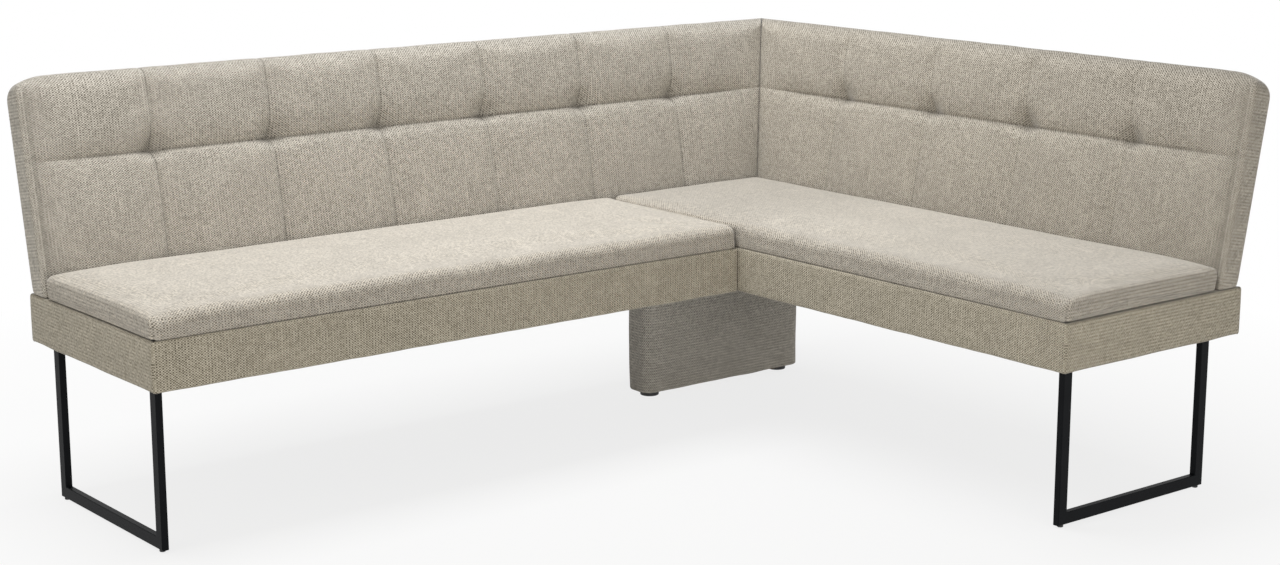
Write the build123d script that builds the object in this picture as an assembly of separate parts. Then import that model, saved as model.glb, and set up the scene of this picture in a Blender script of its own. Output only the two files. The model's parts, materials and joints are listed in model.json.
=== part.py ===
from build123d import *
import os
from dataclasses import dataclass
from math import cos, radians, sin, sqrt, tan

# Corner bench in millimetres: a long and a short upholstered wing on two steel skid legs and a corner plinth.
# +X runs along the long wing towards the corner, +Y towards its backrest, +Z up, floor at Z = 0.

# Overall form
LONG_FRONT = 1480.0
SHORT_FRONT = 985.0
WING_DEPTH = 560.0
FRAME_BOTTOM = 322.0
FRAME_TOP = 424.0
SEAT_TOP = 480.0
BACK_TOP = 875.0
LEAN = 11.0

# Seat box: rails inside a padded fabric band
BAND = 8.0
BAND_ROUND = 5.0
RAIL = 22.0
RAIL_LIFT = 6.0
CLOTH = 1.0
CLOTH_EASE = 0.5
BLOCK_LEG = 70.0
BLOCK_DROP = 15.0
STRAP_WIDTH = 60.0
STRAP_THICK = 2.5
STRAP_PITCH = 135.0
STRAP_MARGIN = 95.0
STRAP_EDGE = 10.0
LONG_CROSS_RAILS = 2
SHORT_CROSS_RAILS = 3

# Upholstery: covers over foam
COVER = 3.0
FOAM_EASE = 0.3
JOIN_EASE = 0.4
PAD_EDGE_DROP = 8.0
PAD_ROUND = 20.0
PAD_CORNER = 15.0
PAD_HEM = 5.0
PAD_SHOULDER = 170.0
PAD_DRAW = 2.5
PAD_TRIM = 0.2

# Backrests: two crowned rows of quilted columns
BACK_THICK = 76.0
QUILT_DEPTH = 10.0
SEAM_STEP = 0.5
ROW_HEIGHT = 271.0
LONG_COLUMNS = 7
SHORT_COLUMNS = 5
TOP_FRONT_ROUND = 25.0
TOP_REAR_ROUND = 38.0
END_FRONT_ROUND = 20.0
END_REAR_ROUND = 14.0
TUFT_RADIUS = 42.0
TUFT_DEPTH = 6.0
BOARD = 15.0
BOARD_MARGIN = 25.0

# Backrest brackets: bent flat bars screwed to the rear rail and to the back board
BRACKET_WIDTH = 40.0
BRACKET_THICK = 5.0
BRACKET_DOWN = 78.0
BRACKET_UP = 150.0
BRACKET_SCREWS_DOWN = (24.0, 58.0)
BRACKET_SCREWS_UP = (60.0, 120.0)
BRACKET_SCREW = 6.0
BRACKET_SCREW_HEAD = 13.0
BRACKET_SCREW_HEAD_HEIGHT = 4.0
BRACKET_SCREW_BITE = 12.0
POCKET_EASE = 1.0

# Skid legs: rectangular steel tube, a flat bar on top and screwed glides below
LEG_INSET = 4.0
LEG_REACH = 462.0
TUBE_DEEP = 25.0
TUBE_WIDE = 15.0
TUBE_WALL = 2.0
TUBE_ROUND = 2.0
TUBE_INNER_ROUND = 0.5
PLATE_WIDE = 45.0
PLATE_ROUND = 6.0
PLATE_EASE = 1.0
LEG_SCREWS = 4
LEG_SCREW = 5.5
LEG_SCREW_HEAD = 11.0
LEG_SCREW_HEAD_HEIGHT = 3.0
LEG_SCREW_BITE = 28.0
LEG_SCREW_MARGIN = 50.0
GLIDE_HEIGHT = 5.0
GLIDE_DIAMETER = 12.5
GLIDE_INSET = 14.0
GLIDE_CHAMFER = 1.0
GLIDE_STUD = 6.0
GLIDE_STUD_LENGTH = 18.0
INSERT_WALL = 0.9
INSERT_LENGTH = 13.0
INSERT_COLLAR_HEIGHT = 1.5

# Corner plinth: a boxed, upholstered panel foot on two levelling feet
PLINTH_X = 231.0
PLINTH_REAR = 208.0
PLINTH_LENGTH = 506.0
PLINTH_THICK = 88.0
PLINTH_ROUND = 30.0
PLINTH_COVER = 6.0
PLINTH_POST = 45.0
PLINTH_FACE = 12.0
PLINTH_BOARD = 18.0
PACKER_WIDTH = 60.0
PACKER_LENGTH = 420.0
PLINTH_BOLT_SPACING = 260.0
PLINTH_BOLT = 8.0
PLINTH_BOLT_HEAD = 14.0
PLINTH_BOLT_HEAD_HEIGHT = 6.0
PLINTH_BOLT_SINK = 10.0
FOOT_SPACING = 420.0
FOOT_DIAMETER = 46.0
FOOT_HEIGHT = 14.0
FOOT_EDGE = 2.0
FOOT_STUD = 10.0
FOOT_STUD_LENGTH = 38.0
FOOT_NUT = 16.0
FOOT_NUT_FLANGE = 28.0
FOOT_NUT_FLANGE_HEIGHT = 2.0

# Bolts that join the two seat boxes
WING_BOLT = 8.0
WING_BOLT_FLANGE = 22.0
WING_BOLT_FLANGE_HEIGHT = 2.0
WING_BOLT_HEX = 13.0
WING_BOLT_HEX_HEIGHT = 6.5
WING_BOLT_MARGIN = 130.0
WING_BOLT_TAIL = 4.0

# Fits
THREAD_EASE = 0.3
PRESS_EASE = 0.1
HOLE_EASE = 0.5

# Sizes that follow from the ones above
LEAN_SIN = sin(radians(LEAN))
LEAN_COS = cos(radians(LEAN))
LEAN_TAN = tan(radians(LEAN))
RAIL_BOTTOM = FRAME_BOTTOM + RAIL_LIFT
RAIL_TOP = FRAME_TOP - STRAP_THICK
FRAME_WALL = BAND + RAIL
PLATE_TOP = RAIL_BOTTOM - CLOTH
TUBE_BORE = TUBE_WIDE - 2 * TUBE_WALL
INSERT_BORE = GLIDE_STUD + 2 * THREAD_EASE
INSERT_DIAMETER = INSERT_BORE + 2 * INSERT_WALL
INSERT_COLLAR = TUBE_BORE - 2 * TUBE_INNER_ROUND - 2 * PRESS_EASE
BACK_PIVOT = WING_DEPTH - FRAME_WALL + (COVER + BOARD) / LEAN_COS
SEAM_DEPTH = BACK_THICK - QUILT_DEPTH
TOP_CENTRE_RISE = (SEAM_DEPTH - TOP_FRONT_ROUND) * LEAN_SIN + TOP_FRONT_ROUND
BACK_HEIGHT = (BACK_TOP - FRAME_TOP - TOP_CENTRE_RISE) / LEAN_COS + TOP_FRONT_ROUND
BOARD_HEIGHT = BACK_HEIGHT - BOARD_MARGIN - TOP_REAR_ROUND / 2
BACK_REAR = BACK_PIVOT + BACK_HEIGHT * LEAN_SIN - TOP_REAR_ROUND * (LEAN_SIN + LEAN_COS - 1)
BACK_FRONT = BACK_PIVOT - (BACK_THICK + JOIN_EASE) / LEAN_COS
PAD_SHOULDER_DROP = PAD_EDGE_DROP / 4
CORNER_REACH = BACK_PIVOT - SEAM_DEPTH * LEAN_COS + ROW_HEIGHT * LEAN_SIN
PLINTH_Y = WING_DEPTH - PLINTH_REAR
CENTRE_X = (BACK_REAR - LONG_FRONT) / 2
CENTRE_Y = (BACK_REAR - SHORT_FRONT) / 2
CORNER_DIAGONAL = Plane(origin=(0, 0, 0), z_dir=(1, -1, 0))
FROM_CORNER = (Align.MIN, Align.MIN, Align.MIN)
UPRIGHT = (Align.CENTER, Align.CENTER, Align.MIN)


@dataclass(frozen=True)
class Wing:
    """One wing in its own frame: X from the free end, Y from front to rear, front corner at the floor."""

    name: str
    leg: str
    front: float
    box: float
    columns: int
    mirrored: bool


LONG = Wing("long", "left", LONG_FRONT, LONG_FRONT, LONG_COLUMNS, False)
SHORT = Wing("short", "right", SHORT_FRONT, SHORT_FRONT + WING_DEPTH, SHORT_COLUMNS, True)
CORNER = Wing("corner", "", 0.0, 0.0, 0, False)
WINGS = (LONG, SHORT)

nodes = {}


def place(wing, shape):
    """Move a shape from a wing's frame to the bench's frame; the short wing mirrors at the inner corner."""
    moved = Pos(-wing.front, 0, 0) * shape
    if wing.mirrored:
        moved = moved.mirror(CORNER_DIAGONAL)
    return Pos(-CENTRE_X, -CENTRE_Y, 0) * moved


def add(name, wing, *shapes):
    """Add shapes, given in a wing's frame, to a node."""
    nodes.setdefault(name, []).extend(place(wing, shape) for shape in shapes)


def drill(wing, names, tools):
    """Cut tools, given in a wing's frame, out of finished nodes."""
    cutters = [place(wing, tool) for tool in tools]
    for name in names:
        nodes[name] = [shape - cutters for shape in nodes[name]]


def block(x0, x1, y0, y1, z0, z1):
    """Box between two corners."""
    return Pos(x0, y0, z0) * Box(x1 - x0, y1 - y0, z1 - z0, align=FROM_CORNER)


def rod(diameter, start, end):
    """Cylinder on the Z axis."""
    return Pos(0, 0, start) * Cylinder(diameter / 2, end - start, align=UPRIGHT)


def screw(shank, length, head, head_height):
    """Round-headed screw: the head seats on Z = 0 from below, the shank points up."""
    return rod(shank, 0, length) + rod(head, -head_height, 0)


def hexagon(across, start, end):
    """Hexagonal prism on the Z axis, given its size across the flats."""
    profile = RegularPolygon(across / 2, 6, major_radius=False)
    return Pos(0, 0, start) * extrude(profile, end - start)


def strap_places(wing):
    """Even places along a wing for its webbing straps."""
    span = wing.box - 2 * STRAP_MARGIN
    gaps = round(span / STRAP_PITCH)
    return [STRAP_MARGIN + span * number / gaps for number in range(gaps + 1)]


def bracket_places(wing):
    """Places along a wing for its backrest brackets, each midway between two straps."""
    straps = strap_places(wing)
    gaps = [(first + second) / 2 for first, second in zip(straps, straps[1:])]
    inner = gaps[1:-1]
    return [inner[0], gaps[len(gaps) // 2], inner[-1]]


def spread(places, count):
    """Pick a count of evenly spread places, none of them at an end."""
    last = len(places) - 1
    return [places[round(last * (number + 1) / (count + 1))] for number in range(count)]


def rails(wing):
    """Four rails of a seat box: the end rails stand between the front and rear rails."""
    far = wing.box - BAND
    rear = WING_DEPTH - BAND
    inner_rear = WING_DEPTH - FRAME_WALL
    add(f"{wing.name}_front_rail", wing, block(BAND, far, BAND, FRAME_WALL, RAIL_BOTTOM, RAIL_TOP))
    add(f"{wing.name}_rear_rail", wing, block(BAND, far, inner_rear, rear, RAIL_BOTTOM, RAIL_TOP))
    add(f"{wing.name}_outer_end_rail", wing,
        block(BAND, FRAME_WALL, FRAME_WALL, inner_rear, RAIL_BOTTOM, RAIL_TOP))
    add(f"{wing.name}_inner_end_rail", wing,
        block(far - RAIL, far, FRAME_WALL, inner_rear, RAIL_BOTTOM, RAIL_TOP))


def cross_rails(wing, places):
    """Rails across the seat box, at given places along the wing."""
    for place_along in places:
        add("cross_rails", wing, block(place_along - RAIL / 2, place_along + RAIL / 2,
                                       FRAME_WALL, WING_DEPTH - FRAME_WALL, RAIL_BOTTOM, RAIL_TOP))


def corner_blocks(wing):
    """Triangular glue blocks in the four corners of a seat box."""
    outline = Polyline((0, 0), (BLOCK_LEG, 0), (0, BLOCK_LEG), close=True)
    prism = extrude(make_face(outline), RAIL_TOP - BLOCK_DROP - RAIL_BOTTOM)
    far = wing.box - FRAME_WALL
    rear = WING_DEPTH - FRAME_WALL
    corners = ((FRAME_WALL, FRAME_WALL, 0), (far, FRAME_WALL, 90), (far, rear, 180), (FRAME_WALL, rear, 270))
    for x, y, turn in corners:
        add("corner_blocks", wing, Pos(x, y, RAIL_BOTTOM) * Rot(0, 0, turn) * prism)


def bands(wing):
    """Four padded fabric strips round a seat box, with rounded outer edges."""
    far = wing.box
    rear = WING_DEPTH - BAND
    front_strip = block(0, far, 0, BAND, FRAME_BOTTOM, FRAME_TOP)
    front_strip = fillet(front_strip.faces().sort_by(Axis.Y)[0].edges(), BAND_ROUND)
    rear_strip = block(0, far, rear, WING_DEPTH, FRAME_BOTTOM, FRAME_TOP)
    rear_strip = fillet(rear_strip.faces().sort_by(Axis.Y)[-1].edges(), BAND_ROUND)
    outer_strip = block(0, BAND, BAND, rear, FRAME_BOTTOM, FRAME_TOP)
    outer_strip = fillet(outer_strip.faces().sort_by(Axis.X)[0].edges().filter_by(Axis.Y), BAND_ROUND)
    inner_strip = block(far - BAND, far, BAND, rear, FRAME_BOTTOM, FRAME_TOP)
    inner_strip = fillet(inner_strip.faces().sort_by(Axis.X)[-1].edges().filter_by(Axis.Y), BAND_ROUND)
    add(f"{wing.name}_front_band", wing, front_strip)
    add(f"{wing.name}_rear_band", wing, rear_strip)
    add(f"{wing.name}_outer_band", wing, outer_strip)
    add(f"{wing.name}_inner_band", wing, inner_strip)


def dust_cloth(wing):
    """Thin cloth stapled under the rails, inside the band's lower hem."""
    edge = BAND + CLOTH_EASE
    add(f"{wing.name}_dust_cloth", wing,
        block(edge, wing.box - edge, edge, WING_DEPTH - edge, PLATE_TOP, RAIL_BOTTOM))


def webbing(wing):
    """Elastic straps over the front and rear rails."""
    for centre in strap_places(wing):
        add("seat_webbing", wing, block(centre - STRAP_WIDTH / 2, centre + STRAP_WIDTH / 2,
                                        STRAP_EDGE, WING_DEPTH - STRAP_EDGE, RAIL_TOP, FRAME_TOP))


def pad_plan(far, rear, inset):
    """Plan of a seat pad: rounded corners, sides drawn in between them, trimmed just inside the sections."""
    near = inset + PAD_TRIM
    side = far - PAD_TRIM
    radius = PAD_CORNER - inset
    draw = near + PAD_DRAW
    middle = far / 2
    outline = [
        ThreePointArc((near + radius, near), (middle, draw), (side - radius, near)),
        CenterArc((side - radius, near + radius), radius, -90, 90),
        ThreePointArc((side, near + radius), (side - PAD_DRAW, rear / 2), (side, rear)),
        Line((side, rear), (near, rear)),
        ThreePointArc((near, rear), (draw, rear / 2), (near, near + radius)),
        CenterArc((near + radius, near + radius), radius, 180, 90),
    ]
    return make_face(outline)


def pad_depth_profile(rear, inset):
    """Section of a seat pad from front to rear: hem, front face, rounded edge and crown."""
    bottom = FRAME_TOP + inset
    top = SEAT_TOP - inset
    edge = top - PAD_EDGE_DROP
    radius = PAD_ROUND - inset
    hem = PAD_HEM - inset
    outline = [
        CenterArc((inset + hem, bottom + hem), hem, 180, 90),
        Line((inset + hem, bottom), (rear, bottom)),
        Line((rear, bottom), (rear, edge)),
        ThreePointArc((rear, edge), ((inset + radius + rear) / 2, top), (inset + radius, edge)),
        CenterArc((inset + radius, edge - radius), radius, 90, 90),
        Line((inset, edge - radius), (inset, bottom + hem)),
    ]
    return make_face(outline)


def pad_length_profile(far, inset):
    """Section of a seat pad along the wing: rounded ends, shoulders that rise to a level middle."""
    bottom = FRAME_TOP + inset
    top = SEAT_TOP - inset
    edge = top - PAD_EDGE_DROP
    radius = PAD_ROUND - inset
    hem = PAD_HEM - inset
    near_edge = inset + radius
    far_edge = far - radius
    rise = top - PAD_SHOULDER_DROP
    outline = [
        CenterArc((inset + hem, bottom + hem), hem, 180, 90),
        Line((inset + hem, bottom), (far - hem, bottom)),
        CenterArc((far - hem, bottom + hem), hem, 270, 90),
        Line((far, bottom + hem), (far, edge - radius)),
        CenterArc((far_edge, edge - radius), radius, 0, 90),
        ThreePointArc((far_edge, edge), (far_edge - PAD_SHOULDER / 2, rise), (far_edge - PAD_SHOULDER, top)),
        Line((far_edge - PAD_SHOULDER, top), (near_edge + PAD_SHOULDER, top)),
        ThreePointArc((near_edge + PAD_SHOULDER, top), (near_edge + PAD_SHOULDER / 2, rise), (near_edge, edge)),
        CenterArc((near_edge, edge - radius), radius, 90, 90),
        Line((inset, edge - radius), (inset, bottom + hem)),
    ]
    return make_face(outline)


def pad_form(wing, inset):
    """Seat pad as a closed form: three sections intersected, cut along the leaning backrest fronts."""
    rear = WING_DEPTH
    if wing.mirrored:
        far = wing.front + WING_DEPTH
    else:
        far = wing.front - JOIN_EASE - inset
    plan = extrude(pad_plan(far, rear, inset), SEAT_TOP + PAD_ROUND)
    depth = extrude(Plane.YZ * pad_depth_profile(BACK_FRONT + (SEAT_TOP - FRAME_TOP) * LEAN_TAN, inset), far)
    length = extrude(Plane.XZ * pad_length_profile(far, inset), -rear)
    form = plan & depth & length
    rear_cut = Plane(origin=(0, BACK_FRONT - inset, FRAME_TOP), z_dir=(0, -LEAN_COS, LEAN_SIN))
    form = split(form, rear_cut, keep=Keep.TOP)
    if wing.mirrored:
        far_place = wing.front + BACK_FRONT - inset
        far_cut = Plane(origin=(far_place, 0, FRAME_TOP), z_dir=(-LEAN_COS, 0, LEAN_SIN))
        form = split(form, far_cut, keep=Keep.TOP)
    return form


def seat(wing):
    """Seat pad: a foam core in a closed cover."""
    add(f"{wing.name}_seat_cover", wing, pad_form(wing, 0) - pad_form(wing, COVER))
    add(f"{wing.name}_seat_foam", wing, pad_form(wing, COVER + FOAM_EASE))


def lean(shape):
    """Tilt an upright backrest shape, rear face on Y = 0, to its place in the wing's frame."""
    return Pos(0, BACK_PIVOT, FRAME_TOP) * Rot(-LEAN, 0, 0) * shape


def column_width(wing):
    """Width of one quilted column, counted from the free end to the corner at the row seam."""
    return (wing.front + CORNER_REACH) / wing.columns


def row_profile(inset):
    """Upright section of a backrest: rear, rounded top and two crowned rows above each other."""
    rear = -inset
    seam = inset - SEAM_DEPTH
    top = BACK_HEIGHT - inset
    foot = -BACK_THICK
    rear_round = TOP_REAR_ROUND - inset
    front_round = TOP_FRONT_ROUND - inset
    shoulder = top - front_round
    crown = seam - QUILT_DEPTH
    outline = [
        Line((rear, foot), (rear, top - rear_round)),
        CenterArc((rear - rear_round, top - rear_round), rear_round, 0, 90),
        Line((rear - rear_round, top), (seam + front_round, top)),
        CenterArc((seam + front_round, shoulder), front_round, 90, 90),
        ThreePointArc((seam, shoulder), (crown, (shoulder + ROW_HEIGHT) / 2), (seam, ROW_HEIGHT)),
        ThreePointArc((seam, ROW_HEIGHT), (crown, ROW_HEIGHT / 2), (seam, 0)),
        Line((seam, 0), (seam, foot)),
        Line((seam, foot), (rear, foot)),
    ]
    return make_face(outline)


def column_profile(wing, inset):
    """Plan section of a backrest: rounded free end, crowned columns sewn a step deeper than the row seam."""
    rear = -inset
    seam = inset - SEAM_DEPTH + SEAM_STEP
    crown = seam - QUILT_DEPTH
    far = wing.front + WING_DEPTH + BACK_THICK
    rear_round = END_REAR_ROUND - inset
    front_round = END_FRONT_ROUND - inset
    width = column_width(wing)
    seams = [inset + front_round] + [width * number for number in range(1, wing.columns + 1)]
    outline = [
        Line((far, rear), (inset + rear_round, rear)),
        CenterArc((inset + rear_round, rear - rear_round), rear_round, 90, 90),
        Line((inset, rear - rear_round), (inset, seam + front_round)),
        CenterArc((inset + front_round, seam + front_round), front_round, 180, 90),
    ]
    for start, end in zip(seams, seams[1:]):
        outline.append(ThreePointArc((start, seam), ((start + end) / 2, crown), (end, seam)))
    outline.append(Line((seams[-1], seam), (far, seam)))
    outline.append(Line((far, seam), (far, rear)))
    return make_face(outline)


def tufts(wing, inset):
    """Round cutters that pull in the crossings of the quilting seams."""
    centre = inset - SEAM_DEPTH + TUFT_DEPTH - TUFT_RADIUS
    width = column_width(wing)
    return [Pos(width * number, centre, ROW_HEIGHT) * Sphere(TUFT_RADIUS) for number in range(1, wing.columns)]


def back_form(wing, inset):
    """Quilted backrest as a closed form, leaning, level below and mitred at the corner."""
    far = wing.front + WING_DEPTH + BACK_THICK
    rows = extrude(Plane.YZ * row_profile(inset), far)
    columns = Pos(0, 0, -BACK_THICK) * extrude(column_profile(wing, inset), BACK_THICK + BACK_HEIGHT)
    form = lean((rows & columns) - tufts(wing, inset))
    return trim_back(wing, form, inset)


def trim_back(wing, form, inset):
    """Cut a leaning form level above the seat box and along the corner's mitre."""
    level = Plane(origin=(0, 0, FRAME_TOP + inset), z_dir=(0, 0, 1))
    mitre = Plane(origin=(wing.front - JOIN_EASE - inset * sqrt(2), 0, 0), z_dir=(-1, 1, 0))
    return split(split(form, level, keep=Keep.TOP), mitre, keep=Keep.TOP)


def back_board(wing, inset, ease):
    """Plywood board behind the foam, with foam wrapped over its top and its free end."""
    board = block(BOARD_MARGIN - ease, wing.front + WING_DEPTH + BACK_THICK, -COVER - BOARD - ease, -COVER,
                  -BACK_THICK, BOARD_HEIGHT + ease)
    return trim_back(wing, lean(board), inset)


def bracket_pockets(places):
    """Room in the foam and in the cover's underside for the brackets and their screw heads."""
    half = BRACKET_WIDTH / 2 + POCKET_EASE
    front = COVER + BOARD
    deep = front + BRACKET_THICK + BRACKET_SCREW_HEAD_HEIGHT + POCKET_EASE
    return [lean(block(centre - half, centre + half, -deep, -front, -BACK_THICK, BRACKET_UP + POCKET_EASE))
            for centre in places]


def backrest(wing, places):
    """Backrest: quilted cover, foam core and back board."""
    pockets = bracket_pockets(places)
    loose = COVER + FOAM_EASE
    add(f"{wing.name}_back_cover", wing, back_form(wing, 0) - back_form(wing, COVER) - pockets)
    foam = back_form(wing, loose) - back_board(wing, COVER, FOAM_EASE)
    add(f"{wing.name}_back_foam", wing, foam - pockets)
    add(f"{wing.name}_back_board", wing, back_board(wing, loose, 0))


def bracket():
    """Bent flat bar on X = 0: upright against the rear rail, leaning above the seat box."""
    rear = WING_DEPTH - FRAME_WALL
    front = rear - BRACKET_THICK
    low = FRAME_TOP - BRACKET_DOWN
    bend = FRAME_TOP + BRACKET_THICK * tan(radians(LEAN / 2))
    tip_rear = (rear + BRACKET_UP * LEAN_SIN, FRAME_TOP + BRACKET_UP * LEAN_COS)
    tip_front = (tip_rear[0] - BRACKET_THICK * LEAN_COS, tip_rear[1] + BRACKET_THICK * LEAN_SIN)
    outline = Polyline((rear, low), (rear, FRAME_TOP), tip_rear, tip_front, (front, bend), (front, low), close=True)
    return extrude(Plane.YZ * make_face(outline), BRACKET_WIDTH / 2, both=True)


def bracket_seats(centre):
    """Planes under the screw heads of a bracket, facing the rail and the back board."""
    front = WING_DEPTH - FRAME_WALL - BRACKET_THICK
    seats = [Plane(origin=(centre, front, FRAME_TOP - drop), z_dir=(0, 1, 0)) for drop in BRACKET_SCREWS_DOWN]
    foot = WING_DEPTH - FRAME_WALL
    for rise in BRACKET_SCREWS_UP:
        y = foot + rise * LEAN_SIN - BRACKET_THICK * LEAN_COS
        z = FRAME_TOP + rise * LEAN_COS + BRACKET_THICK * LEAN_SIN
        seats.append(Plane(origin=(centre, y, z), z_dir=(0, LEAN_COS, -LEAN_SIN)))
    return seats


def brackets(wing, places, rail):
    """Brackets that carry a backrest, with their screws into one rail and the back board."""
    length = BRACKET_THICK + BRACKET_SCREW_BITE
    fixing = screw(BRACKET_SCREW, length, BRACKET_SCREW_HEAD, BRACKET_SCREW_HEAD_HEIGHT)
    hole = rod(BRACKET_SCREW + 2 * PRESS_EASE, -HOLE_EASE, length + HOLE_EASE)
    for centre in places:
        seats = bracket_seats(centre)
        holes = [seat_plane * hole for seat_plane in seats]
        add("back_brackets", wing, Pos(centre, 0, 0) * bracket() - holes)
        add("bracket_screws", wing, *[seat_plane * fixing for seat_plane in seats])
        drill(wing, (rail, f"{wing.name}_back_board"), holes)


def tube(length):
    """Rectangular steel tube along Z, centred on its axis."""
    outside = RectangleRounded(TUBE_WIDE, TUBE_DEEP, TUBE_ROUND)
    inside = RectangleRounded(TUBE_BORE, TUBE_DEEP - 2 * TUBE_WALL, TUBE_INNER_ROUND)
    return extrude(outside - inside, length)


def glide_places():
    """Places of a leg's two glides, from front to rear."""
    return {"front": LEG_INSET + GLIDE_INSET, "rear": LEG_REACH - GLIDE_INSET}


def leg(wing):
    """Skid leg: two posts and a runner of mitred tube, and a flat bar that screws to the seat box."""
    x = LEG_INSET + TUBE_WIDE / 2
    front_mitre = Plane(origin=(0, LEG_INSET, GLIDE_HEIGHT), z_dir=(0, -1, 1))
    rear_mitre = Plane(origin=(0, LEG_REACH, GLIDE_HEIGHT), z_dir=(0, 1, 1))
    post = tube(FRAME_BOTTOM - GLIDE_HEIGHT)
    front_post = split(Pos(x, LEG_INSET + TUBE_DEEP / 2, GLIDE_HEIGHT) * post, front_mitre, keep=Keep.TOP)
    rear_post = split(Pos(x, LEG_REACH - TUBE_DEEP / 2, GLIDE_HEIGHT) * post, rear_mitre, keep=Keep.TOP)
    runner = Pos(x, LEG_INSET, GLIDE_HEIGHT + TUBE_DEEP / 2) * Rot(-90, 0, 0) * tube(LEG_REACH - LEG_INSET)
    runner = split(split(runner, front_mitre, keep=Keep.BOTTOM), rear_mitre, keep=Keep.BOTTOM)
    seat_hole = rod(INSERT_DIAMETER + 2 * PRESS_EASE, 0, GLIDE_HEIGHT + TUBE_WALL + PRESS_EASE)
    runner = runner - [Pos(x, y, 0) * seat_hole for y in glide_places().values()]
    add(f"{wing.leg}_leg_front_post", wing, front_post)
    add(f"{wing.leg}_leg_rear_post", wing, rear_post)
    add(f"{wing.leg}_leg_runner", wing, runner)
    leg_plate(wing)
    for side, y in glide_places().items():
        add(f"{wing.leg}_{side}_glide", wing, Pos(x, y, 0) * glide())
        add("glide_inserts", wing, Pos(x, y, 0) * glide_insert())


def leg_plate(wing):
    """Flat bar on the posts, inside the band, with the screws that hold it under the end rail."""
    edge = BAND + PLATE_EASE
    plate = block(edge, edge + PLATE_WIDE, edge, LEG_REACH, FRAME_BOTTOM, PLATE_TOP)
    plate = fillet(plate.edges().filter_by(Axis.Z).sort_by(Axis.X)[2:], PLATE_ROUND)
    length = PLATE_TOP - FRAME_BOTTOM + LEG_SCREW_BITE
    fixing = screw(LEG_SCREW, length, LEG_SCREW_HEAD, LEG_SCREW_HEAD_HEIGHT)
    hole = rod(LEG_SCREW + 2 * PRESS_EASE, -HOLE_EASE, length + HOLE_EASE)
    first = LEG_INSET + TUBE_DEEP + LEG_SCREW_MARGIN
    last = LEG_REACH - TUBE_DEEP - LEG_SCREW_MARGIN
    step = (last - first) / (LEG_SCREWS - 1)
    spots = [Pos(BAND + RAIL / 2, first + step * number, FRAME_BOTTOM) for number in range(LEG_SCREWS)]
    add(f"{wing.leg}_leg_plate", wing, plate)
    add("leg_screws", wing, *[spot * fixing for spot in spots])
    drilled = (f"{wing.leg}_leg_plate", f"{wing.name}_dust_cloth", f"{wing.name}_outer_end_rail")
    drill(wing, drilled, [spot * hole for spot in spots])


def glide():
    """Screwed glide: a round head on the floor and a threaded stud that points up."""
    head = rod(GLIDE_DIAMETER, 0, GLIDE_HEIGHT)
    head = chamfer(head.edges().sort_by(Axis.Z)[0], GLIDE_CHAMFER)
    return head + rod(GLIDE_STUD, GLIDE_HEIGHT, GLIDE_HEIGHT + GLIDE_STUD_LENGTH)


def glide_insert():
    """Threaded insert in the runner's lower wall, held by a collar inside the tube."""
    wall_top = GLIDE_HEIGHT + TUBE_WALL
    body = rod(INSERT_DIAMETER, GLIDE_HEIGHT, GLIDE_HEIGHT + INSERT_LENGTH)
    collar = rod(INSERT_COLLAR, wall_top, wall_top + INSERT_COLLAR_HEIGHT)
    bore = rod(INSERT_BORE, 0, GLIDE_HEIGHT + INSERT_LENGTH + HOLE_EASE)
    return body + collar - bore


def foot_places():
    """Places of the plinth's feet, by side."""
    return {"left": PLINTH_X - FOOT_SPACING / 2, "right": PLINTH_X + FOOT_SPACING / 2}


def plinth_slab(inset, bottom, top):
    """Upright slab with the plinth's rounded plan."""
    plan = RectangleRounded(PLINTH_LENGTH - 2 * inset, PLINTH_THICK - 2 * inset, PLINTH_ROUND - inset)
    return Pos(PLINTH_X, PLINTH_Y, bottom) * extrude(plan, top - bottom)


def plinth():
    """Boxed panel foot: base, top, two faces and rounded end posts inside an upholstered cover."""
    low = FOOT_HEIGHT + PLINTH_BOARD
    high = FRAME_BOTTOM - PLINTH_BOARD
    core_half = PLINTH_LENGTH / 2 - PLINTH_COVER
    core_front = PLINTH_Y - PLINTH_THICK / 2 + PLINTH_COVER
    core_rear = PLINTH_Y + PLINTH_THICK / 2 - PLINTH_COVER
    post_left = PLINTH_X - core_half + PLINTH_POST
    post_right = PLINTH_X + core_half - PLINTH_POST
    between = block(post_left, post_right, core_front, core_rear, low, high)
    spots = [Pos(x, PLINTH_Y, 0) for x in foot_places().values()]
    stud_room = rod(FOOT_NUT_FLANGE + 2 * HOLE_EASE, low, FOOT_HEIGHT + FOOT_STUD_LENGTH + HOLE_EASE)
    end_posts = plinth_slab(PLINTH_COVER, low, high) - between - [spot * stud_room for spot in spots]
    nut_hole = rod(FOOT_NUT + 2 * PRESS_EASE, 0, low + HOLE_EASE)
    base = plinth_slab(PLINTH_COVER, FOOT_HEIGHT, low) - [spot * nut_hole for spot in spots]
    cover = plinth_slab(0, FOOT_HEIGHT, FRAME_BOTTOM) - plinth_slab(PLINTH_COVER, FOOT_HEIGHT, FRAME_BOTTOM)
    add("plinth_base_board", CORNER, base)
    add("plinth_top_board", CORNER, plinth_slab(PLINTH_COVER, high, FRAME_BOTTOM))
    add("plinth_front_board", CORNER,
        block(post_left, post_right, core_front, core_front + PLINTH_FACE, low, high))
    add("plinth_rear_board", CORNER,
        block(post_left, post_right, core_rear - PLINTH_FACE, core_rear, low, high))
    add("plinth_end_posts", CORNER, end_posts)
    add("plinth_cover", CORNER, cover)
    for side, x in foot_places().items():
        add(f"plinth_{side}_foot", CORNER, Pos(x, PLINTH_Y, 0) * foot())
        add("plinth_foot_nuts", CORNER, Pos(x, PLINTH_Y, 0) * foot_nut())


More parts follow.
